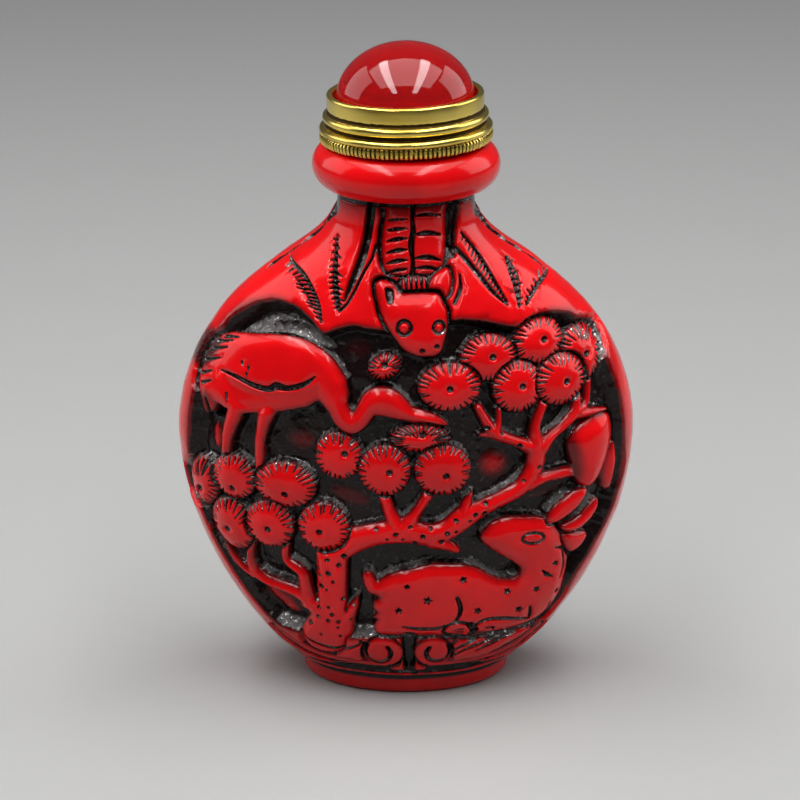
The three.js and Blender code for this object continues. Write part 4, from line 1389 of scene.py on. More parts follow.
        # painted sheen: faces that lean upwards, where the black is later made light and metallic to
        # stand in for light from above
        rubbed = smooth((lean - 0.4) / 0.25) * smooth((0.93 - lean) / 0.12)
        foot, hollow = self.foot(theta), self.hollow(theta)
        poles = np.array([[0, 0, self.form.foot_recess], [0, 0, self.form.cavity_floor]])
        points = np.concatenate([*foot, surface.reshape(-1, 3), *hollow, poles])
        mesh = self.skin(points, len(foot) + len(rows) + len(hollow), len(theta))
        first = len(foot) * len(theta)
        for name, values in (("patina", patina), ("wiped", wiped), ("rubbed", rubbed)):
            whole = np.zeros(len(points), np.float32)
            whole[first:first + values.size] = values.reshape(-1)
            mesh.attributes.new(name, "FLOAT", "POINT").data.foreach_set("value", whole)
        mesh.shade_smooth()
        obj = bpy.data.objects.new("bottle_casting", mesh)
        bpy.context.scene.collection.objects.link(obj)
        return self.thinned(obj)

    @staticmethod
    def facing(grid: np.ndarray) -> np.ndarray:
        """Finds the outward normals of a grid of points.

        Args:
            grid: The points, row by row up the bottle.

        Returns:
            The unit normals.
        """
        along = np.roll(grid, -1, axis=1) - np.roll(grid, 1, axis=1)
        normal = np.cross(along, np.gradient(grid, axis=0))
        return normal / np.maximum(np.linalg.norm(normal, axis=-1, keepdims=True), 1e-9)

    @staticmethod
    def ring(theta: np.ndarray, z: float, a: float, b: float) -> np.ndarray:
        """Returns one oval ring of points."""
        return np.stack([a * np.cos(theta), b * np.sin(theta), np.full(len(theta), z)], axis=-1)

    def thinned(self, obj: bpy.types.Object) -> bpy.types.Object:
        """Thins the mesh to its triangle budget, where the surface is plain first.

        Args:
            obj: The casting.

        Returns:
            The same object with its thinner mesh.
        """
        faces = sum(len(p.vertices) - 2 for p in obj.data.polygons)
        thin = obj.modifiers.new("thin", "DECIMATE")
        thin.ratio = min(1.0, self.triangles / faces)
        thin.use_collapse_triangulate = True
        graph = bpy.context.evaluated_depsgraph_get()
        mesh = bpy.data.meshes.new_from_object(obj.evaluated_get(graph))
        obj.modifiers.clear()
        obj.data = mesh
        mesh.shade_smooth()
        LOG.info("casting thinned from %d to %d faces", faces, len(mesh.polygons))
        return obj


# ------------------------------------------------------------------ finishes


class NodePen:
    """Adds nodes to a tree and joins them, so that a finish reads as one list."""

    def __init__(self, tree: bpy.types.NodeTree) -> None:
        """Starts on an existing tree."""
        self.tree = tree

    def add(self, kind: str, label: str, **settings: object) -> bpy.types.Node:
        """Adds a node.

        Args:
            kind: Blender's class name of the node.
            label: The name it gets.
            settings: Properties of the node to set.

        Returns:
            The node.
        """
        node = self.tree.nodes.new(kind)
        node.name = node.label = label
        for key, value in settings.items():
            setattr(node, key, value)
        return node

    def join(self, source: object, target: object) -> None:
        """Links an output to an input, or sets the input to a plain value.

        Args:
            source: The output or the value.
            target: The input.
        """
        if isinstance(source, bpy.types.NodeSocket):
            self.tree.links.new(source, target)
        else:
            target.default_value = source

    def noise(self, label: str, vector: object, scale: float, detail: float) -> object:
        """Adds a noise texture.

        Args:
            label: Its name.
            vector: Where it is looked up.
            scale: Its scale.
            detail: Its detail.

        Returns:
            Its value.
        """
        node = self.add("ShaderNodeTexNoise", label)
        self.join(vector, node.inputs["Vector"])
        self.join(scale, node.inputs["Scale"])
        self.join(detail, node.inputs["Detail"])
        return node.outputs["Fac"]

    def spread(self, label: str, value: object, low: float, high: float) -> object:
        """Stretches a value so that low becomes 0 and high becomes 1.

        Args:
            label: Its name.
            value: The value.
            low: What becomes 0.
            high: What becomes 1.

        Returns:
            The stretched value, kept in 0 to 1.
        """
        node = self.add("ShaderNodeMapRange", label)
        self.join(value, node.inputs["Value"])
        self.join(low, node.inputs["From Min"])
        self.join(high, node.inputs["From Max"])
        return node.outputs["Result"]

    def maths(self, label: str, operation: str, a: object, b: object) -> object:
        """Reckons with two values.

        Args:
            label: Its name.
            operation: Blender's word for it.
            a: The first value.
            b: The second value.

        Returns:
            The result.
        """
        node = self.add("ShaderNodeMath", label, operation=operation)
        self.join(a, node.inputs[0])
        self.join(b, node.inputs[1])
        return node.outputs["Value"]

    def blend(self, label: str, share: object, a: object, b: object) -> object:
        """Mixes two colours.

        Args:
            label: Its name.
            share: How much of the second.
            a: The first colour.
            b: The second colour.

        Returns:
            The mixture.
        """
        node = self.add("ShaderNodeMix", label, data_type="RGBA")
        self.join(share, node.inputs[0])
        self.join(a, node.inputs[6])
        self.join(b, node.inputs[7])
        return node.outputs[2]

    def bump(self, label: str, height: object, strength: float, distance: float) -> object:
        """Adds a bump.

        Args:
            label: Its name.
            height: What stands up.
            strength: How strongly.
            distance: How high, in metres.

        Returns:
            The bent normal.
        """
        node = self.add("ShaderNodeBump", label)
        self.join(strength, node.inputs["Strength"])
        self.join(distance, node.inputs["Distance"])
        self.join(height, node.inputs["Height"])
        return node.outputs["Normal"]


def aged_surface() -> bpy.types.NodeTree:
    """Makes the shared group that frays a patina's edge and roughens what it covers.

    Returns:
        The group, made once.
    """
    name = "aged_surface"
    if name in bpy.data.node_groups:
        return bpy.data.node_groups[name]
    tree = bpy.data.node_groups.new(name, "ShaderNodeTree")
    face = tree.interface
    for label, kind, preset in (
        ("Vector", "NodeSocketVector", None),
        ("Patina", "NodeSocketFloat", 0.0),
        ("Grain Scale", "NodeSocketFloat", 900.0),
        ("Fray", "NodeSocketFloat", 0.3),
    ):
        socket = face.new_socket(label, in_out="INPUT", socket_type=kind)
        if preset is not None:
            socket.default_value = preset
    for label in ("Mask", "Wash", "Height", "Cloud", "Glints"):
        face.new_socket(label, in_out="OUTPUT", socket_type="NodeSocketFloat")
    pen = NodePen(tree)
    given = pen.add("NodeGroupInput", "given").outputs
    result = pen.add("NodeGroupOutput", "result").inputs
    grain = pen.noise("grain", given["Vector"], 900.0, 3.0)
    pen.join(given["Grain Scale"], grain.node.inputs["Scale"])
    cloud = pen.noise("cloud", given["Vector"], 160.0, 2.0)
    centred = pen.maths("centred", "SUBTRACT", grain, 0.5)
    frayed = pen.maths("frayed", "MULTIPLY", centred, given["Fray"])
    rough_edge = pen.maths("rough edge", "ADD", given["Patina"], frayed)
    pen.join(pen.spread("mask", rough_edge, 0.38, 0.6), result["Mask"])
    # thin dark film on the red, partly residual black and partly painted shade
    pen.join(pen.spread("wash", given["Patina"], 0.0, 0.36), result["Wash"])
    pen.join(pen.spread("glints", grain, 0.58, 0.68), result["Glints"])
    pen.join(grain, result["Height"])
    pen.join(pen.spread("cloud spread", cloud, 0.3, 0.7), result["Cloud"])
    return tree


class Finish:
    """A named material with one principled surface, which each kind of finish dresses."""

    def __init__(self, name: str) -> None:
        """Makes the material and its nodes.

        Args:
            name: The material's name.
        """
        self.material = bpy.data.materials.new(name)
        self.material.use_nodes = True
        tree = self.material.node_tree
        tree.nodes.clear()
        self.pen = NodePen(tree)
        out = self.pen.add("ShaderNodeOutputMaterial", "output")
        self.surface = self.pen.add("ShaderNodeBsdfPrincipled", "surface")
        self.pen.join(self.surface.outputs["BSDF"], out.inputs["Surface"])
        self.place = self.pen.add("ShaderNodeTexCoord", "place").outputs["Object"]

    def set(self, **values: object) -> None:
        """Sets or links inputs of the surface.

        Args:
            values: What goes where, inputs named in words joined by underscores.
        """
        for key, value in values.items():
            socket = self.surface.inputs[key.replace("_", " ").title().replace("Ior", "IOR")]
            self.pen.join(value, socket)

    def aged(self, attribute: str, grain_scale: float, fray: float) -> dict[str, object]:
        """Adds the shared aging over a vertex attribute.

        Args:
            attribute: Its name.
            grain_scale: Scale of the grain.
            fray: How ragged the edge is.

        Returns:
            The group's outputs by name.
        """
        group = self.pen.add("ShaderNodeGroup", "aging", node_tree=aged_surface())
        patina = self.pen.add("ShaderNodeAttribute", "patina", attribute_name=attribute)
        self.pen.join(self.place, group.inputs["Vector"])
        self.pen.join(patina.outputs["Fac"], group.inputs["Patina"])
        self.pen.join(grain_scale, group.inputs["Grain Scale"])
        self.pen.join(fray, group.inputs["Fray"])
        return {output.name: output for output in group.outputs}


@dataclass(frozen=True)
class LacquerResin:
    """Deep red glossy resin with glossy black patina in the hollows, a thin dark film on the red
    beside them that is partly painted shade, and a painted sheen on black that faces upwards.
    """

    red: tuple = (0.74, 0.002, 0.004, 1.0)
    dark_red: tuple = (0.58, 0.0015, 0.003, 1.0)
    # dark red of the thin film, partly residual black and partly painted shade
    washed_and_shaded: tuple = (0.10, 0.0006, 0.0012, 1.0)
    black: tuple = (0.007, 0.0015, 0.0015, 1.0)
    # painted sheen: pale colour for black that faces upwards
    painted_sheen_colour: tuple = (0.85, 0.82, 0.80, 1.0)
    red_roughness: float = 0.23
    black_roughness: float = 0.18
    grain: float = 2200.0
    fray: float = 0.35
    polish: float = 0.45
    sheen: float = 0.3
    sparkle: float = 0.5
    # painted sheen: a base share on upward black, and more where the grain glints
    painted_sheen_base: float = 0.16
    crumbs: float = 0.75
    bump: float = 0.9
    bump_height: float = 0.00022

    def material(self) -> bpy.types.Material:
        """Builds the material.

        Returns:
            The material.
        """
        finish = Finish("lacquer_resin")
        aged = finish.aged("patina", self.grain, self.fray)
        pen = finish.pen
        wiped = pen.add("ShaderNodeAttribute", "wiped", attribute_name="wiped")
        left = pen.maths("left", "SUBTRACT", 1.0, wiped.outputs["Fac"])
        covered = pen.maths("covered", "MULTIPLY", aged["Mask"], left)
        clean = pen.blend("clean red", aged["Cloud"], self.dark_red, self.red)
        # thin dark film on the red, partly residual black and partly painted shade
        thin = pen.maths("thin", "MULTIPLY", aged["Wash"], left)
        red = pen.blend("red", thin, clean, self.washed_and_shaded)
        bare = pen.maths("bare", "SUBTRACT", 1.0, aged["Mask"])
        low = pen.maths("red gloss", "MULTIPLY", bare, self.red_roughness)
        high = pen.maths("black gloss", "MULTIPLY", aged["Mask"], self.black_roughness)
        grit = pen.maths("grit", "MULTIPLY", aged["Mask"], aged["Height"])
        polish = pen.maths("polish", "MULTIPLY", bare, self.polish)
        glitter = pen.maths("glitter", "MULTIPLY", aged["Glints"], self.sparkle)
        sparkle = pen.maths("sparkle", "ADD", glitter, self.sheen)
        glints = pen.maths("glints", "MULTIPLY", aged["Mask"], sparkle)
        # painted sheen: black that faces upwards is made pale and metallic
        rubbed = pen.add("ShaderNodeAttribute", "rubbed", attribute_name="rubbed")
        dressed = pen.maths("dressed", "MULTIPLY", rubbed.outputs["Fac"], covered)
        crumbs = pen.maths("crumbs", "MULTIPLY", aged["Glints"], self.crumbs)
        crumbled = pen.maths("crumbled", "ADD", crumbs, self.painted_sheen_base)
        gleam = pen.maths("gleam", "MULTIPLY", dressed, crumbled)
        paint = pen.blend("paint", gleam, self.black, self.painted_sheen_colour)
        finish.set(
            base_color=pen.blend("colour", covered, red, paint),
            metallic=gleam,
            roughness=pen.maths("roughness", "ADD", low, high),
            ior=1.5,
            specular_ior_level=0.1,
            coat_weight=pen.maths("coat", "ADD", polish, glints),
            coat_roughness=0.1,
            normal=pen.bump("bump", grit, self.bump, self.bump_height),
        )
        return finish.material


@dataclass(frozen=True)
class GiltBrass:
    """Gilt brass, worn bright on its beads, browned in its grooves, under the collar and inside it:
    partly tarnish, partly painted shade.
    """

    gold: tuple = (0.84, 0.65, 0.16, 1.0)
    worn: tuple = (0.62, 0.45, 0.08, 1.0)
    # tarnish and painted shade in the grooves, under the collar and inside it
    tarnish_and_painted_shade: tuple = (0.05, 0.028, 0.006, 1.0)
    roughness: float = 0.24
    grain: float = 1400.0
    fray: float = 0.7
    tarnish: float = 0.3

    def material(self) -> bpy.types.Material:
        """Builds the material.

        Returns:
            The material.
        """
        finish = Finish("gilt_brass")
        aged = finish.aged("patina", self.grain, self.fray)
        pen = finish.pen
        metal = pen.blend("metal", aged["Cloud"], self.worn, self.gold)
        # tarnish and painted shade where the patina value is high
        colour = pen.blend("colour", aged["Mask"], metal, self.tarnish_and_painted_shade)
        tarnish = pen.maths("tarnish", "MULTIPLY", aged["Mask"], self.tarnish)
        finish.set(
            base_color=colour,
            metallic=1.0,
            roughness=pen.maths("roughness", "ADD", tarnish, self.roughness),
            normal=pen.bump("bump", aged["Cloud"], 0.25, 0.0003),
        )
        return finish.material


@dataclass(frozen=True)
class RedGlass:
    """Clear red glass."""

    tint: tuple = (0.96, 0.012, 0.014, 1.0)
    clearness: float = 0.8
    roughness: float = 0.06
    wave_scale: float = 90.0

    def material(self) -> bpy.types.Material:
        """Builds the material.

        Returns:
            The material.
        """
        finish = Finish("red_glass")
        pen = finish.pen
        wave = pen.noise("wave", finish.place, self.wave_scale, 1.0)
        finish.set(
            base_color=self.tint,
            roughness=self.roughness,
            ior=1.5,
            transmission_weight=self.clearness,
            normal=pen.bump("bump", wave, 0.08, 0.001),
        )
        return finish.material


@dataclass(frozen=True)
class CrinkledFoil:
    """The crinkled red foil that the glass sits on, with painted shade towards its middle."""

    red: tuple = (0.95, 0.03, 0.03, 1.0)
    shade: tuple = (0.35, 0.004, 0.005, 1.0)
    crinkle_scale: float = 420.0

    def material(self) -> bpy.types.Material:
        """Builds the material.

        Returns:
            The material.
        """
        finish = Finish("crinkled_foil")
        pen = finish.pen
        cells = pen.add("ShaderNodeTexVoronoi", "cells")
        pen.join(finish.place, cells.inputs["Vector"])
        pen.join(self.crinkle_scale, cells.inputs["Scale"])
        folds = pen.noise("folds", finish.place, self.crinkle_scale, 4.0)
        share = pen.spread("share", folds, 0.35, 0.65)
        # painted shade: the foil darkens towards its middle
        middle = pen.add("ShaderNodeAttribute", "middle", attribute_name="patina")
        creased = pen.blend("creased", share, self.shade, self.red)
        finish.set(
            base_color=pen.blend("colour", middle.outputs["Fac"], creased, self.shade),
            metallic=0.6,
            roughness=0.25,
            normal=pen.bump("bump", cells.outputs["Distance"], 0.9, 0.0012),
        )
        return finish.material


@dataclass(frozen=True)
class NaturalCork:
    """Cork with darker flecks."""

    light: tuple = (0.48, 0.29, 0.14, 1.0)
    dark: tuple = (0.16, 0.07, 0.03, 1.0)
    grain: float = 700.0
    fray: float = 0.5
    fleck_scale: float = 1300.0

    def material(self) -> bpy.types.Material:
        """Builds the material.

        Returns:
            The material.
        """
        finish = Finish("natural_cork")
        aged = finish.aged("patina", self.grain, self.fray)
        pen = finish.pen
        flecks = pen.noise("flecks", finish.place, self.fleck_scale, 3.0)
        share = pen.spread("share", flecks, 0.56, 0.66)
        finish.set(
            base_color=pen.blend("colour", share, self.light, self.dark),
            roughness=0.88,
            normal=pen.bump("bump", aged["Height"], 0.5, 0.0004),
        )
        return finish.material


@dataclass(frozen=True)
class PlainFloor:
    """The floor's matt surface."""

    colour: tuple = (0.33, 0.33, 0.325, 1.0)
    roughness: float = 0.55

    def material(self) -> bpy.types.Material:
        """Builds the material.

        Returns:
            The material.
        """
        finish = Finish("plain_floor")
        finish.set(base_color=self.colour, roughness=self.roughness)
        return finish.material


# ------------------------------------------------------------------ the stopper


def turned(name: str, profile: Points, stain_and_shade: Sequence[float], sides: int,
           place: Matrix) -> bpy.types.Object:
    """Makes a turned piece from a profile that starts and ends on the axis.

    Args:
        name: Its name.
        profile: Radius and height of each point, in millimetres.
        stain_and_shade: Patina of each point: tarnish, and painted shade.
        sides: Number of sides round it.
        place: Where it stands, in millimetres.

    Returns:
        The object.
    """
    mesh = bpy.data.meshes.new(name)
    build = bmesh.new()
    layer = build.verts.layers.float.new("patina")
    rings = []
    for (radius, z), shade in zip(profile, stain_and_shade):
        count = 1 if radius == 0 else sides
        ring = []
        for k in range(count):
            angle = 2 * math.pi * k / sides
            point = Vector((radius * math.cos(angle), radius * math.sin(angle), z))
            vertex = build.verts.new((place @ point) * MM)
            vertex[layer] = shade
            ring.append(vertex)
        rings.append(ring)
    for low, high in zip(rings[:-1], rings[1:]):
        for k in range(sides):
            n = (k + 1) % sides
            if len(low) == 1:
                build.faces.new((low[0], high[n], high[k]))
            elif len(high) == 1:
                build.faces.new((low[k], low[n], high[0]))
            else:
                build.faces.new((low[k], low[n], high[n], high[k]))
    bmesh.ops.recalc_face_normals(build, faces=build.faces)
    build.to_mesh(mesh)
    build.free()
    mesh.shade_smooth()
    obj = bpy.data.objects.new(name, mesh)
    bpy.context.scene.collection.objects.link(obj)
    return obj


@dataclass(frozen=True)
class Knurl:
    """The row of small upright ribs round the collar's foot, laid out by geometry nodes."""

    count: int = 112
    radius: float = 9.84
    height: float = 0.06
    width: float = 0.40
    reach: float = 0.56
    tall: float = 1.3
    lift: float = 0.1
    unevenness: float = 0.05
    seed: int = 3
    steps: int = 6
    section: Points = ((0.0, -0.5), (0.8, -0.46), (1.0, -0.22), (1.0, 0.22), (0.8, 0.46), (0.0, 0.5))

    def rib(self) -> bpy.types.Object:
        """Makes one rib at the origin: a bar whose outer edge bows outwards.

        Returns:
            The rib.
        """
        points, faces = [], []
        for i in range(self.steps + 1):
            angle = -math.pi / 2 + (math.pi * 0.94) * i / self.steps
            out = self.reach * (0.35 + 0.65 * max(math.cos(angle), 0.0) ** 0.8)
            z = 0.5 * self.tall * math.sin(angle)
            for share, y in self.section:
                points.append((out * share * MM, y * self.width * MM, z * MM))
        n = len(self.section)
        for a in range(0, n * self.steps, n):
            faces += [(a + k, a + k + 1, a + k + n + 1, a + k + n) for k in range(n - 1)]
        faces.append((0, *range(n - 1, 0, -1)))
        last = n * self.steps
        faces.append(tuple(range(last, last + n)))
        faces += [(a, a + n, a + 2 * n - 1, a + n - 1) for a in range(0, last, n)]
        mesh = bpy.data.meshes.new("collar_rib")
        mesh.from_pydata(points, [], faces)
        mesh.validate()
        obj = bpy.data.objects.new("collar_rib", mesh)
        bpy.context.scene.collection.objects.link(obj)
        return obj

    @staticmethod
    def tree() -> bpy.types.NodeTree:
        """Sets ribs round a circle, each of a little other size.

        Returns:
            The node tree.
        """
        tree = bpy.data.node_groups.new("ribs_round_a_circle", "GeometryNodeTree")
        face = tree.interface
        face.new_socket("Geometry", in_out="INPUT", socket_type="NodeSocketGeometry")
        for label, kind in (
            ("Rib", "NodeSocketObject"), ("Count", "NodeSocketInt"),
            ("Radius", "NodeSocketFloat"), ("Height", "NodeSocketFloat"),
            ("Unevenness", "NodeSocketFloat"), ("Seed", "NodeSocketInt"),
            ("Material", "NodeSocketMaterial"),
        ):
            face.new_socket(label, in_out="INPUT", socket_type=kind)
        face.new_socket("Geometry", in_out="OUTPUT", socket_type="NodeSocketGeometry")
        pen = NodePen(tree)
        given = pen.add("NodeGroupInput", "given").outputs
        result = pen.add("NodeGroupOutput", "result").inputs
        circle = pen.add("GeometryNodeMeshCircle", "circle")
        pen.join(given["Count"], circle.inputs["Vertices"])
        pen.join(given["Radius"], circle.inputs["Radius"])
        lift = pen.add("ShaderNodeCombineXYZ", "lift")
        pen.join(given["Height"], lift.inputs["Z"])
        raised = pen.add("GeometryNodeSetPosition", "raised")
        pen.join(circle.outputs["Mesh"], raised.inputs["Geometry"])
        pen.join(lift.outputs["Vector"], raised.inputs["Offset"])
        where = pen.add("GeometryNodeInputPosition", "where")
        flat = pen.add("ShaderNodeVectorMath", "flat", operation="MULTIPLY")
        pen.join(where.outputs["Position"], flat.inputs[0])
        pen.join((1.0, 1.0, 0.0), flat.inputs[1])
        aim = pen.add("FunctionNodeAlignRotationToVector", "aim", axis="X", pivot_axis="Z")
        pen.join(flat.outputs["Vector"], aim.inputs["Vector"])
        rib = pen.add("GeometryNodeObjectInfo", "rib")
        pen.join(given["Rib"], rib.inputs["Object"])
        least = pen.maths("least", "SUBTRACT", 1.0, given["Unevenness"])
        most = pen.maths("most", "ADD", 1.0, given["Unevenness"])
        size = pen.add("FunctionNodeRandomValue", "size", data_type="FLOAT")
        pen.join(least, size.inputs[2])
        pen.join(most, size.inputs[3])
        pen.join(given["Seed"], size.inputs["Seed"])
        spots = pen.add("GeometryNodeInstanceOnPoints", "spots")
        pen.join(raised.outputs["Geometry"], spots.inputs["Points"])
        pen.join(rib.outputs["Geometry"], spots.inputs["Instance"])
        pen.join(aim.outputs["Rotation"], spots.inputs["Rotation"])
        pen.join(size.outputs[1], spots.inputs["Scale"])
        real = pen.add("GeometryNodeRealizeInstances", "real")
        pen.join(spots.outputs["Instances"], real.inputs["Geometry"])
        dress = pen.add("GeometryNodeSetMaterial", "dress")
        pen.join(real.outputs["Geometry"], dress.inputs["Geometry"])
        pen.join(given["Material"], dress.inputs["Material"])
        pen.join(dress.outputs["Geometry"], result["Geometry"])
        return tree

    def build(self, bottom: float, place: Matrix, brass: bpy.types.Material) -> bpy.types.Object:
        """Makes the ribs as one plain mesh round a collar.

        Args:
            bottom: Height of the collar's underside, in millimetres.
            place: Where the stopper stands, in millimetres.
            brass: The ribs' material.

        Returns:
            The object.
        """
        rib = self.rib()
        tree = self.tree()
        obj = bpy.data.objects.new("collar_knurl", bpy.data.meshes.new("collar_knurl_base"))
        bpy.context.scene.collection.objects.link(obj)
        ribs = obj.modifiers.new("ribs", "NODES")
        ribs.node_group = tree
        values = {
            "Rib": rib, "Count": self.count, "Radius": self.radius * MM,
            "Height": (bottom + self.height + self.lift) * MM, "Unevenness": self.unevenness,
            "Seed": self.seed, "Material": brass,
        }
        for item in tree.interface.items_tree:
            if item.item_type == "SOCKET" and item.in_out == "INPUT" and item.name in values:
                ribs[item.identifier] = values[item.name]
        graph = bpy.context.evaluated_depsgraph_get()
        mesh = bpy.data.meshes.new_from_object(obj.evaluated_get(graph))
        obj.modifiers.clear()
        obj.data = mesh
        bpy.data.objects.remove(rib)
        turn = place.copy()
        turn.translation *= MM
        mesh.transform(turn)
        return obj


@dataclass
class Stopper:
    """The collar with its knurl, the glass dome on its foil, and the cork."""

    bottom: float = 68.35
    pivot: float = 10.4
    tilt: float = -1.35
    knurl_radius: float = 10.4
    bead_radius: float = 9.95
    band: float = 9.4
    inner: float = 8.7
    rim: float = 73.75
    floor: float = 1.5
    dome_radius: float = 8.3
    dome_waist: float = 72.8
    dome_top: float = 79.6
    dome_base: float = 7.5
    gap: float = 0.3
    foil_radius: float = 7.9
    cork_length: float = 7.6
    sides: int = 160

    def place(self) -> Matrix:
        """Turns the stopper about the left edge of its underside.

        Returns:
            The turn, in millimetres.
        """
        there = Matrix.Translation((-self.pivot, 0, self.bottom))
        turn = Matrix.Rotation(math.radians(self.tilt), 4, "Y")
        return there @ turn @ there.inverted()

    def collar(self, brass: bpy.types.Material) -> bpy.types.Object:
        """Turns the collar: a ribbed bead, a plain bead, and a band with a rounded rim.

        Args:
            brass: Its material.

        Returns:
            The collar.
        """
        b, out, band, inner = self.bottom, self.knurl_radius, self.band, self.inner
        # third value of each point: tarnish and painted shade, highest in the grooves, under the
        # collar and inside it
        points = [(0, b, 0.0), (band - 0.3, b, 0.6), (out - 0.65, b - 0.42, 1.0),
                  (out - 0.4, b - 0.36, 0.8), (out - 0.22, b, 0.6), (out - 0.2, b + 0.4, 0.6),
                  (out - 0.36, b + 0.74, 0.8)]
        for i in range(9):
            angle = math.radians(-30 + 120 * i / 8)
            points.append((out - 0.44 + 0.42 * math.cos(angle),
                           b + 1.12 + 0.44 * math.sin(angle), 0.0))
        points += [(band + 0.28, b + 1.62, 0.5), (band + 0.02, b + 1.72, 1.0),
                   (band - 0.02, b + 1.86, 1.0), (band + 0.1, b + 1.98, 0.6)]
        for i in range(9):
            angle = math.radians(-80 + 160 * i / 8)
            points.append((self.bead_radius - 0.42 + 0.42 * math.cos(angle),
                           b + 2.52 + 0.5 * math.sin(angle), 0.0))
        points += [(band + 0.05, b + 3.06, 0.6), (band - 0.14, b + 3.2, 1.0),
                   (band - 0.12, b + 3.36, 0.9), (band - 0.02, b + 3.6, 0.35),
                   (band, b + 3.9, 0.2), (band - 0.02, b + 4.5, 0.1)]
        lip = 0.5 * (band - inner)
        for i in range(9):
            angle = math.pi * i / 8
            points.append((band - lip + lip * math.cos(angle),
                           self.rim - 0.32 + 0.32 * math.sin(angle), 0.0))
        points += [(inner, self.rim - 0.8, 0.3), (inner, b + self.floor + 0.2, 0.8),
                   (inner - 0.2, b + self.floor, 0.8), (0, b + self.floor, 0.4)]
        obj = turned("stopper_collar_brass", [p[:2] for p in points], [p[2] for p in points],
                     self.sides, self.place())
        obj.data.materials.append(brass)
        return obj

    def dome(self, glass: bpy.types.Material) -> bpy.types.Object:
        """Turns the glass dome.

        Args:
            glass: Its material.

        Returns:
            The dome.
        """
        seat = self.bottom + self.floor + self.gap
        points = [(0, seat), (0.5 * self.dome_base, seat), (self.dome_base - 0.2, seat),
                  (self.dome_base, seat + 0.06), (self.dome_radius - 0.12, seat + 0.8),
                  (self.dome_radius, seat + 1.05), (self.dome_radius, self.dome_waist - 0.6)]
        steps = 40
        for i in range(steps):
            angle = 0.5 * math.pi * i / steps
            points.append((self.dome_radius * math.cos(angle),
                           self.dome_waist + (self.dome_top - self.dome_waist) * math.sin(angle)))
        points.append((0, self.dome_top))
        obj = turned("stopper_dome_glass", points, [0.0] * len(points), self.sides, self.place())
        obj.data.materials.append(glass)
        return obj

    def foil(self, red: bpy.types.Material) -> bpy.types.Object:
        """Lays the crinkled foil between the glass and the collar's floor.

        Args:
            red: Its material.

        Returns:
            The foil.
        """
        low = self.bottom + self.floor + 0.04
        edge = self.foil_radius
        points = [(0, low), (edge, low), (edge + 0.05, low + 0.06), (edge, low + 0.12),
                  (5, low + 0.16), (2.5, low + 0.18), (0, low + 0.18)]
        # painted shade: the foil darker towards its middle
        stain_and_shade = [0.0, 0.0, 0.0, 0.0, 0.5, 0.9, 1.0]
        obj = turned("stopper_foil", points, stain_and_shade, 96, self.place())
        obj.data.materials.append(red)
        return obj

    def cork(self, cork: bpy.types.Material) -> bpy.types.Object:
        """Turns the tapered cork below the collar.

        Args:
            cork: Its material.

        Returns:
            The cork.
        """
        high = self.bottom - self.gap
        low = high - self.cork_length
        points = [(0, low), (3.4, low), (3.72, high - 7.5), (3.88, high - 7.25),
                  (3.95, high - 6), (4.05, high - 3), (4.18, high - 0.2), (4.0, high), (0, high)]
        obj = turned("stopper_cork_plug", points, [0.0] * len(points), 64, self.place())
        obj.data.materials.append(cork)
        return obj

    def build(self) -> None:
        """Builds and dresses the stopper's pieces and puts them on the frame."""
        brass = GiltBrass().material()
        collar = self.collar(brass)
        knurl = Knurl().build(self.bottom, self.place(), brass)
        dome = self.dome(RedGlass().material())
        foil = self.foil(CrinkledFoil().material())
        cork = self.cork(NaturalCork().material())
        for piece, slot, node in (
            (collar, "brass", "stopper_collar"),
            (knurl, "brass", None),
            (dome, "glass", "stopper_cabochon"),
            (foil, "glass", None),
            (cork, "cork", "stopper_cork"),
        ):
            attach(piece, BODY_NAME)
            if node is not None:
                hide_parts(node)
            LOG.info("%s: %d faces", piece.name, len(piece.data.polygons))


# ------------------------------------------------------------------ the studio


@dataclass(frozen=True)
class Softbox:
    """A square of light: where it hangs, what it points at, its size and its power."""

    name: str
    at: tuple
    aim: tuple
    width: float
    height: float
    power: float

    def hang(self) -> None:
        """Puts the light in the scene."""
        light = bpy.data.lights.new(self.name, "AREA")
        light.shape = "RECTANGLE"
        light.size = self.width
        light.size_y = self.height
        light.energy = self.power
        obj = bpy.data.objects.new(self.name, light)
        obj.location = self.at
        back = (Vector(self.at) - Vector(self.aim)).normalized()
        across = Vector((0, 1, 0)).cross(back).normalized()
        turn = Matrix((across, back.cross(across), back)).transposed()
        obj.rotation_mode = "QUATERNION"
        obj.rotation_quaternion = turn.to_quaternion()
        bpy.context.scene.collection.objects.link(obj)


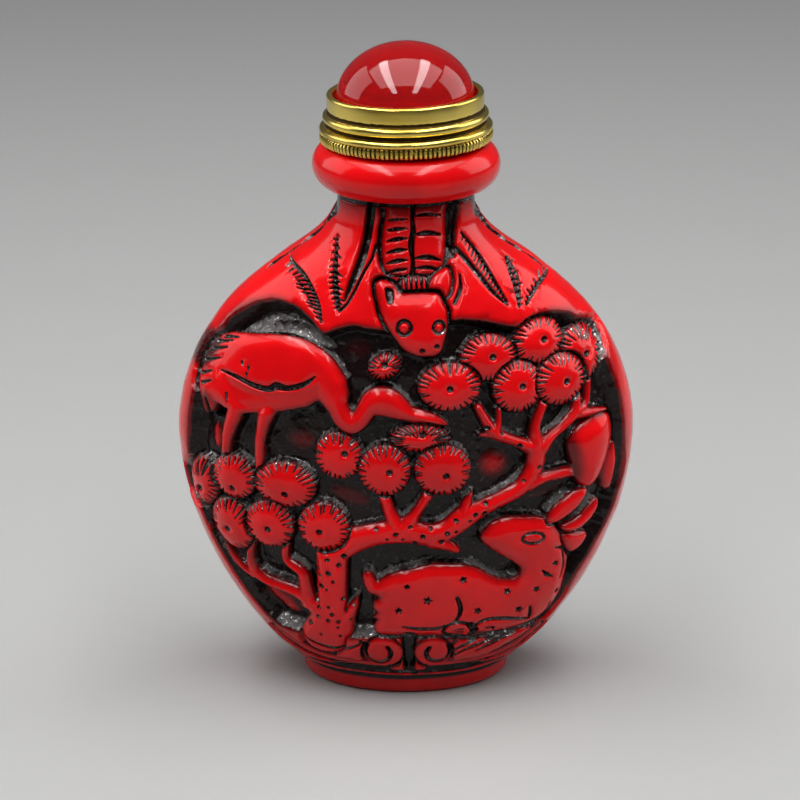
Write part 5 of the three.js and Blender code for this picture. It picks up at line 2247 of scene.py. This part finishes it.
@dataclass
class Studio:
    """A plain floor, soft light and the camera."""

    target: tuple = (-0.00074, 0.0, 0.0351)
    distance: float = 0.4
    elevation: float = 19.0
    lens: float = 146.7
    sensor: float = 36.0
    floor_size: float = 6.0
    air_colour: tuple = (0.9, 0.93, 1.0, 1.0)
    air_strength: float = 0.09
    lights: tuple = (
        Softbox("ceiling", (0.0, -0.06, 0.5), (0, -0.05, 0), 0.76, 0.5, 3.0),
        Softbox("bar_left", (-0.13, -0.1, 0.36), (-0.1, -0.08, 0), 0.06, 0.5, 0.8),
        Softbox("bar_right", (0.11, -0.1, 0.36), (0.085, -0.08, 0), 0.06, 0.5, 0.75),
        Softbox("softbox_left", (-0.7, 0.2, 0.4), (0, 0, 0.05), 0.6, 0.6, 1.9),
        Softbox("softbox_right", (0.7, 0.2, 0.4), (0, 0, 0.05), 0.6, 0.6, 2.4),
    )

    def build(self) -> None:
        """Builds floor, light and camera."""
        scene = bpy.context.scene
        scene.view_settings.view_transform = "Standard"
        half = self.floor_size / 2
        mesh = bpy.data.meshes.new("floor")
        square = [(-half, -half, 0), (half, -half, 0), (half, half, 0), (-half, half, 0)]
        mesh.from_pydata(square, [], [(0, 1, 2, 3)])
        mesh.materials.append(PlainFloor().material())
        floor = bpy.data.objects.new("floor", mesh)
        scene.collection.objects.link(floor)
        world = bpy.data.worlds.new("studio_air")
        world.use_nodes = True
        air = world.node_tree.nodes["Background"]
        air.inputs["Color"].default_value = self.air_colour
        air.inputs["Strength"].default_value = self.air_strength
        scene.world = world
        for light in self.lights:
            light.hang()
        tilt = math.radians(self.elevation)
        back = Vector((0, -math.cos(tilt), math.sin(tilt)))
        camera = bpy.data.cameras.new("camera")
        camera.lens = self.lens
        camera.sensor_width = self.sensor
        camera.clip_start = 0.01
        camera.clip_end = 20.0
        obj = bpy.data.objects.new("camera", camera)
        obj.location = Vector(self.target) + back * self.distance
        obj.rotation_mode = "QUATERNION"
        obj.rotation_quaternion = (-back).to_track_quat("-Z", "Y")
        scene.collection.objects.link(obj)
        scene.camera = obj


def main() -> None:
    """Builds the pieces in order and dresses them."""
    logging.basicConfig(level=logging.INFO, format="%(name)s: %(message)s")
    for obj in list(bpy.data.objects):
        bpy.data.objects.remove(obj)
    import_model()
    bottle = Bottle().build()
    bottle.data.materials.append(LacquerResin().material())
    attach(bottle, BODY_NAME)
    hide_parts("bottle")
    LOG.info("bottle: %d faces", len(bottle.data.polygons))
    Stopper().build()
    LOG.info("stopper built")
    Studio().build()
    LOG.info("studio built")


if __name__ == "__main__":
    main()
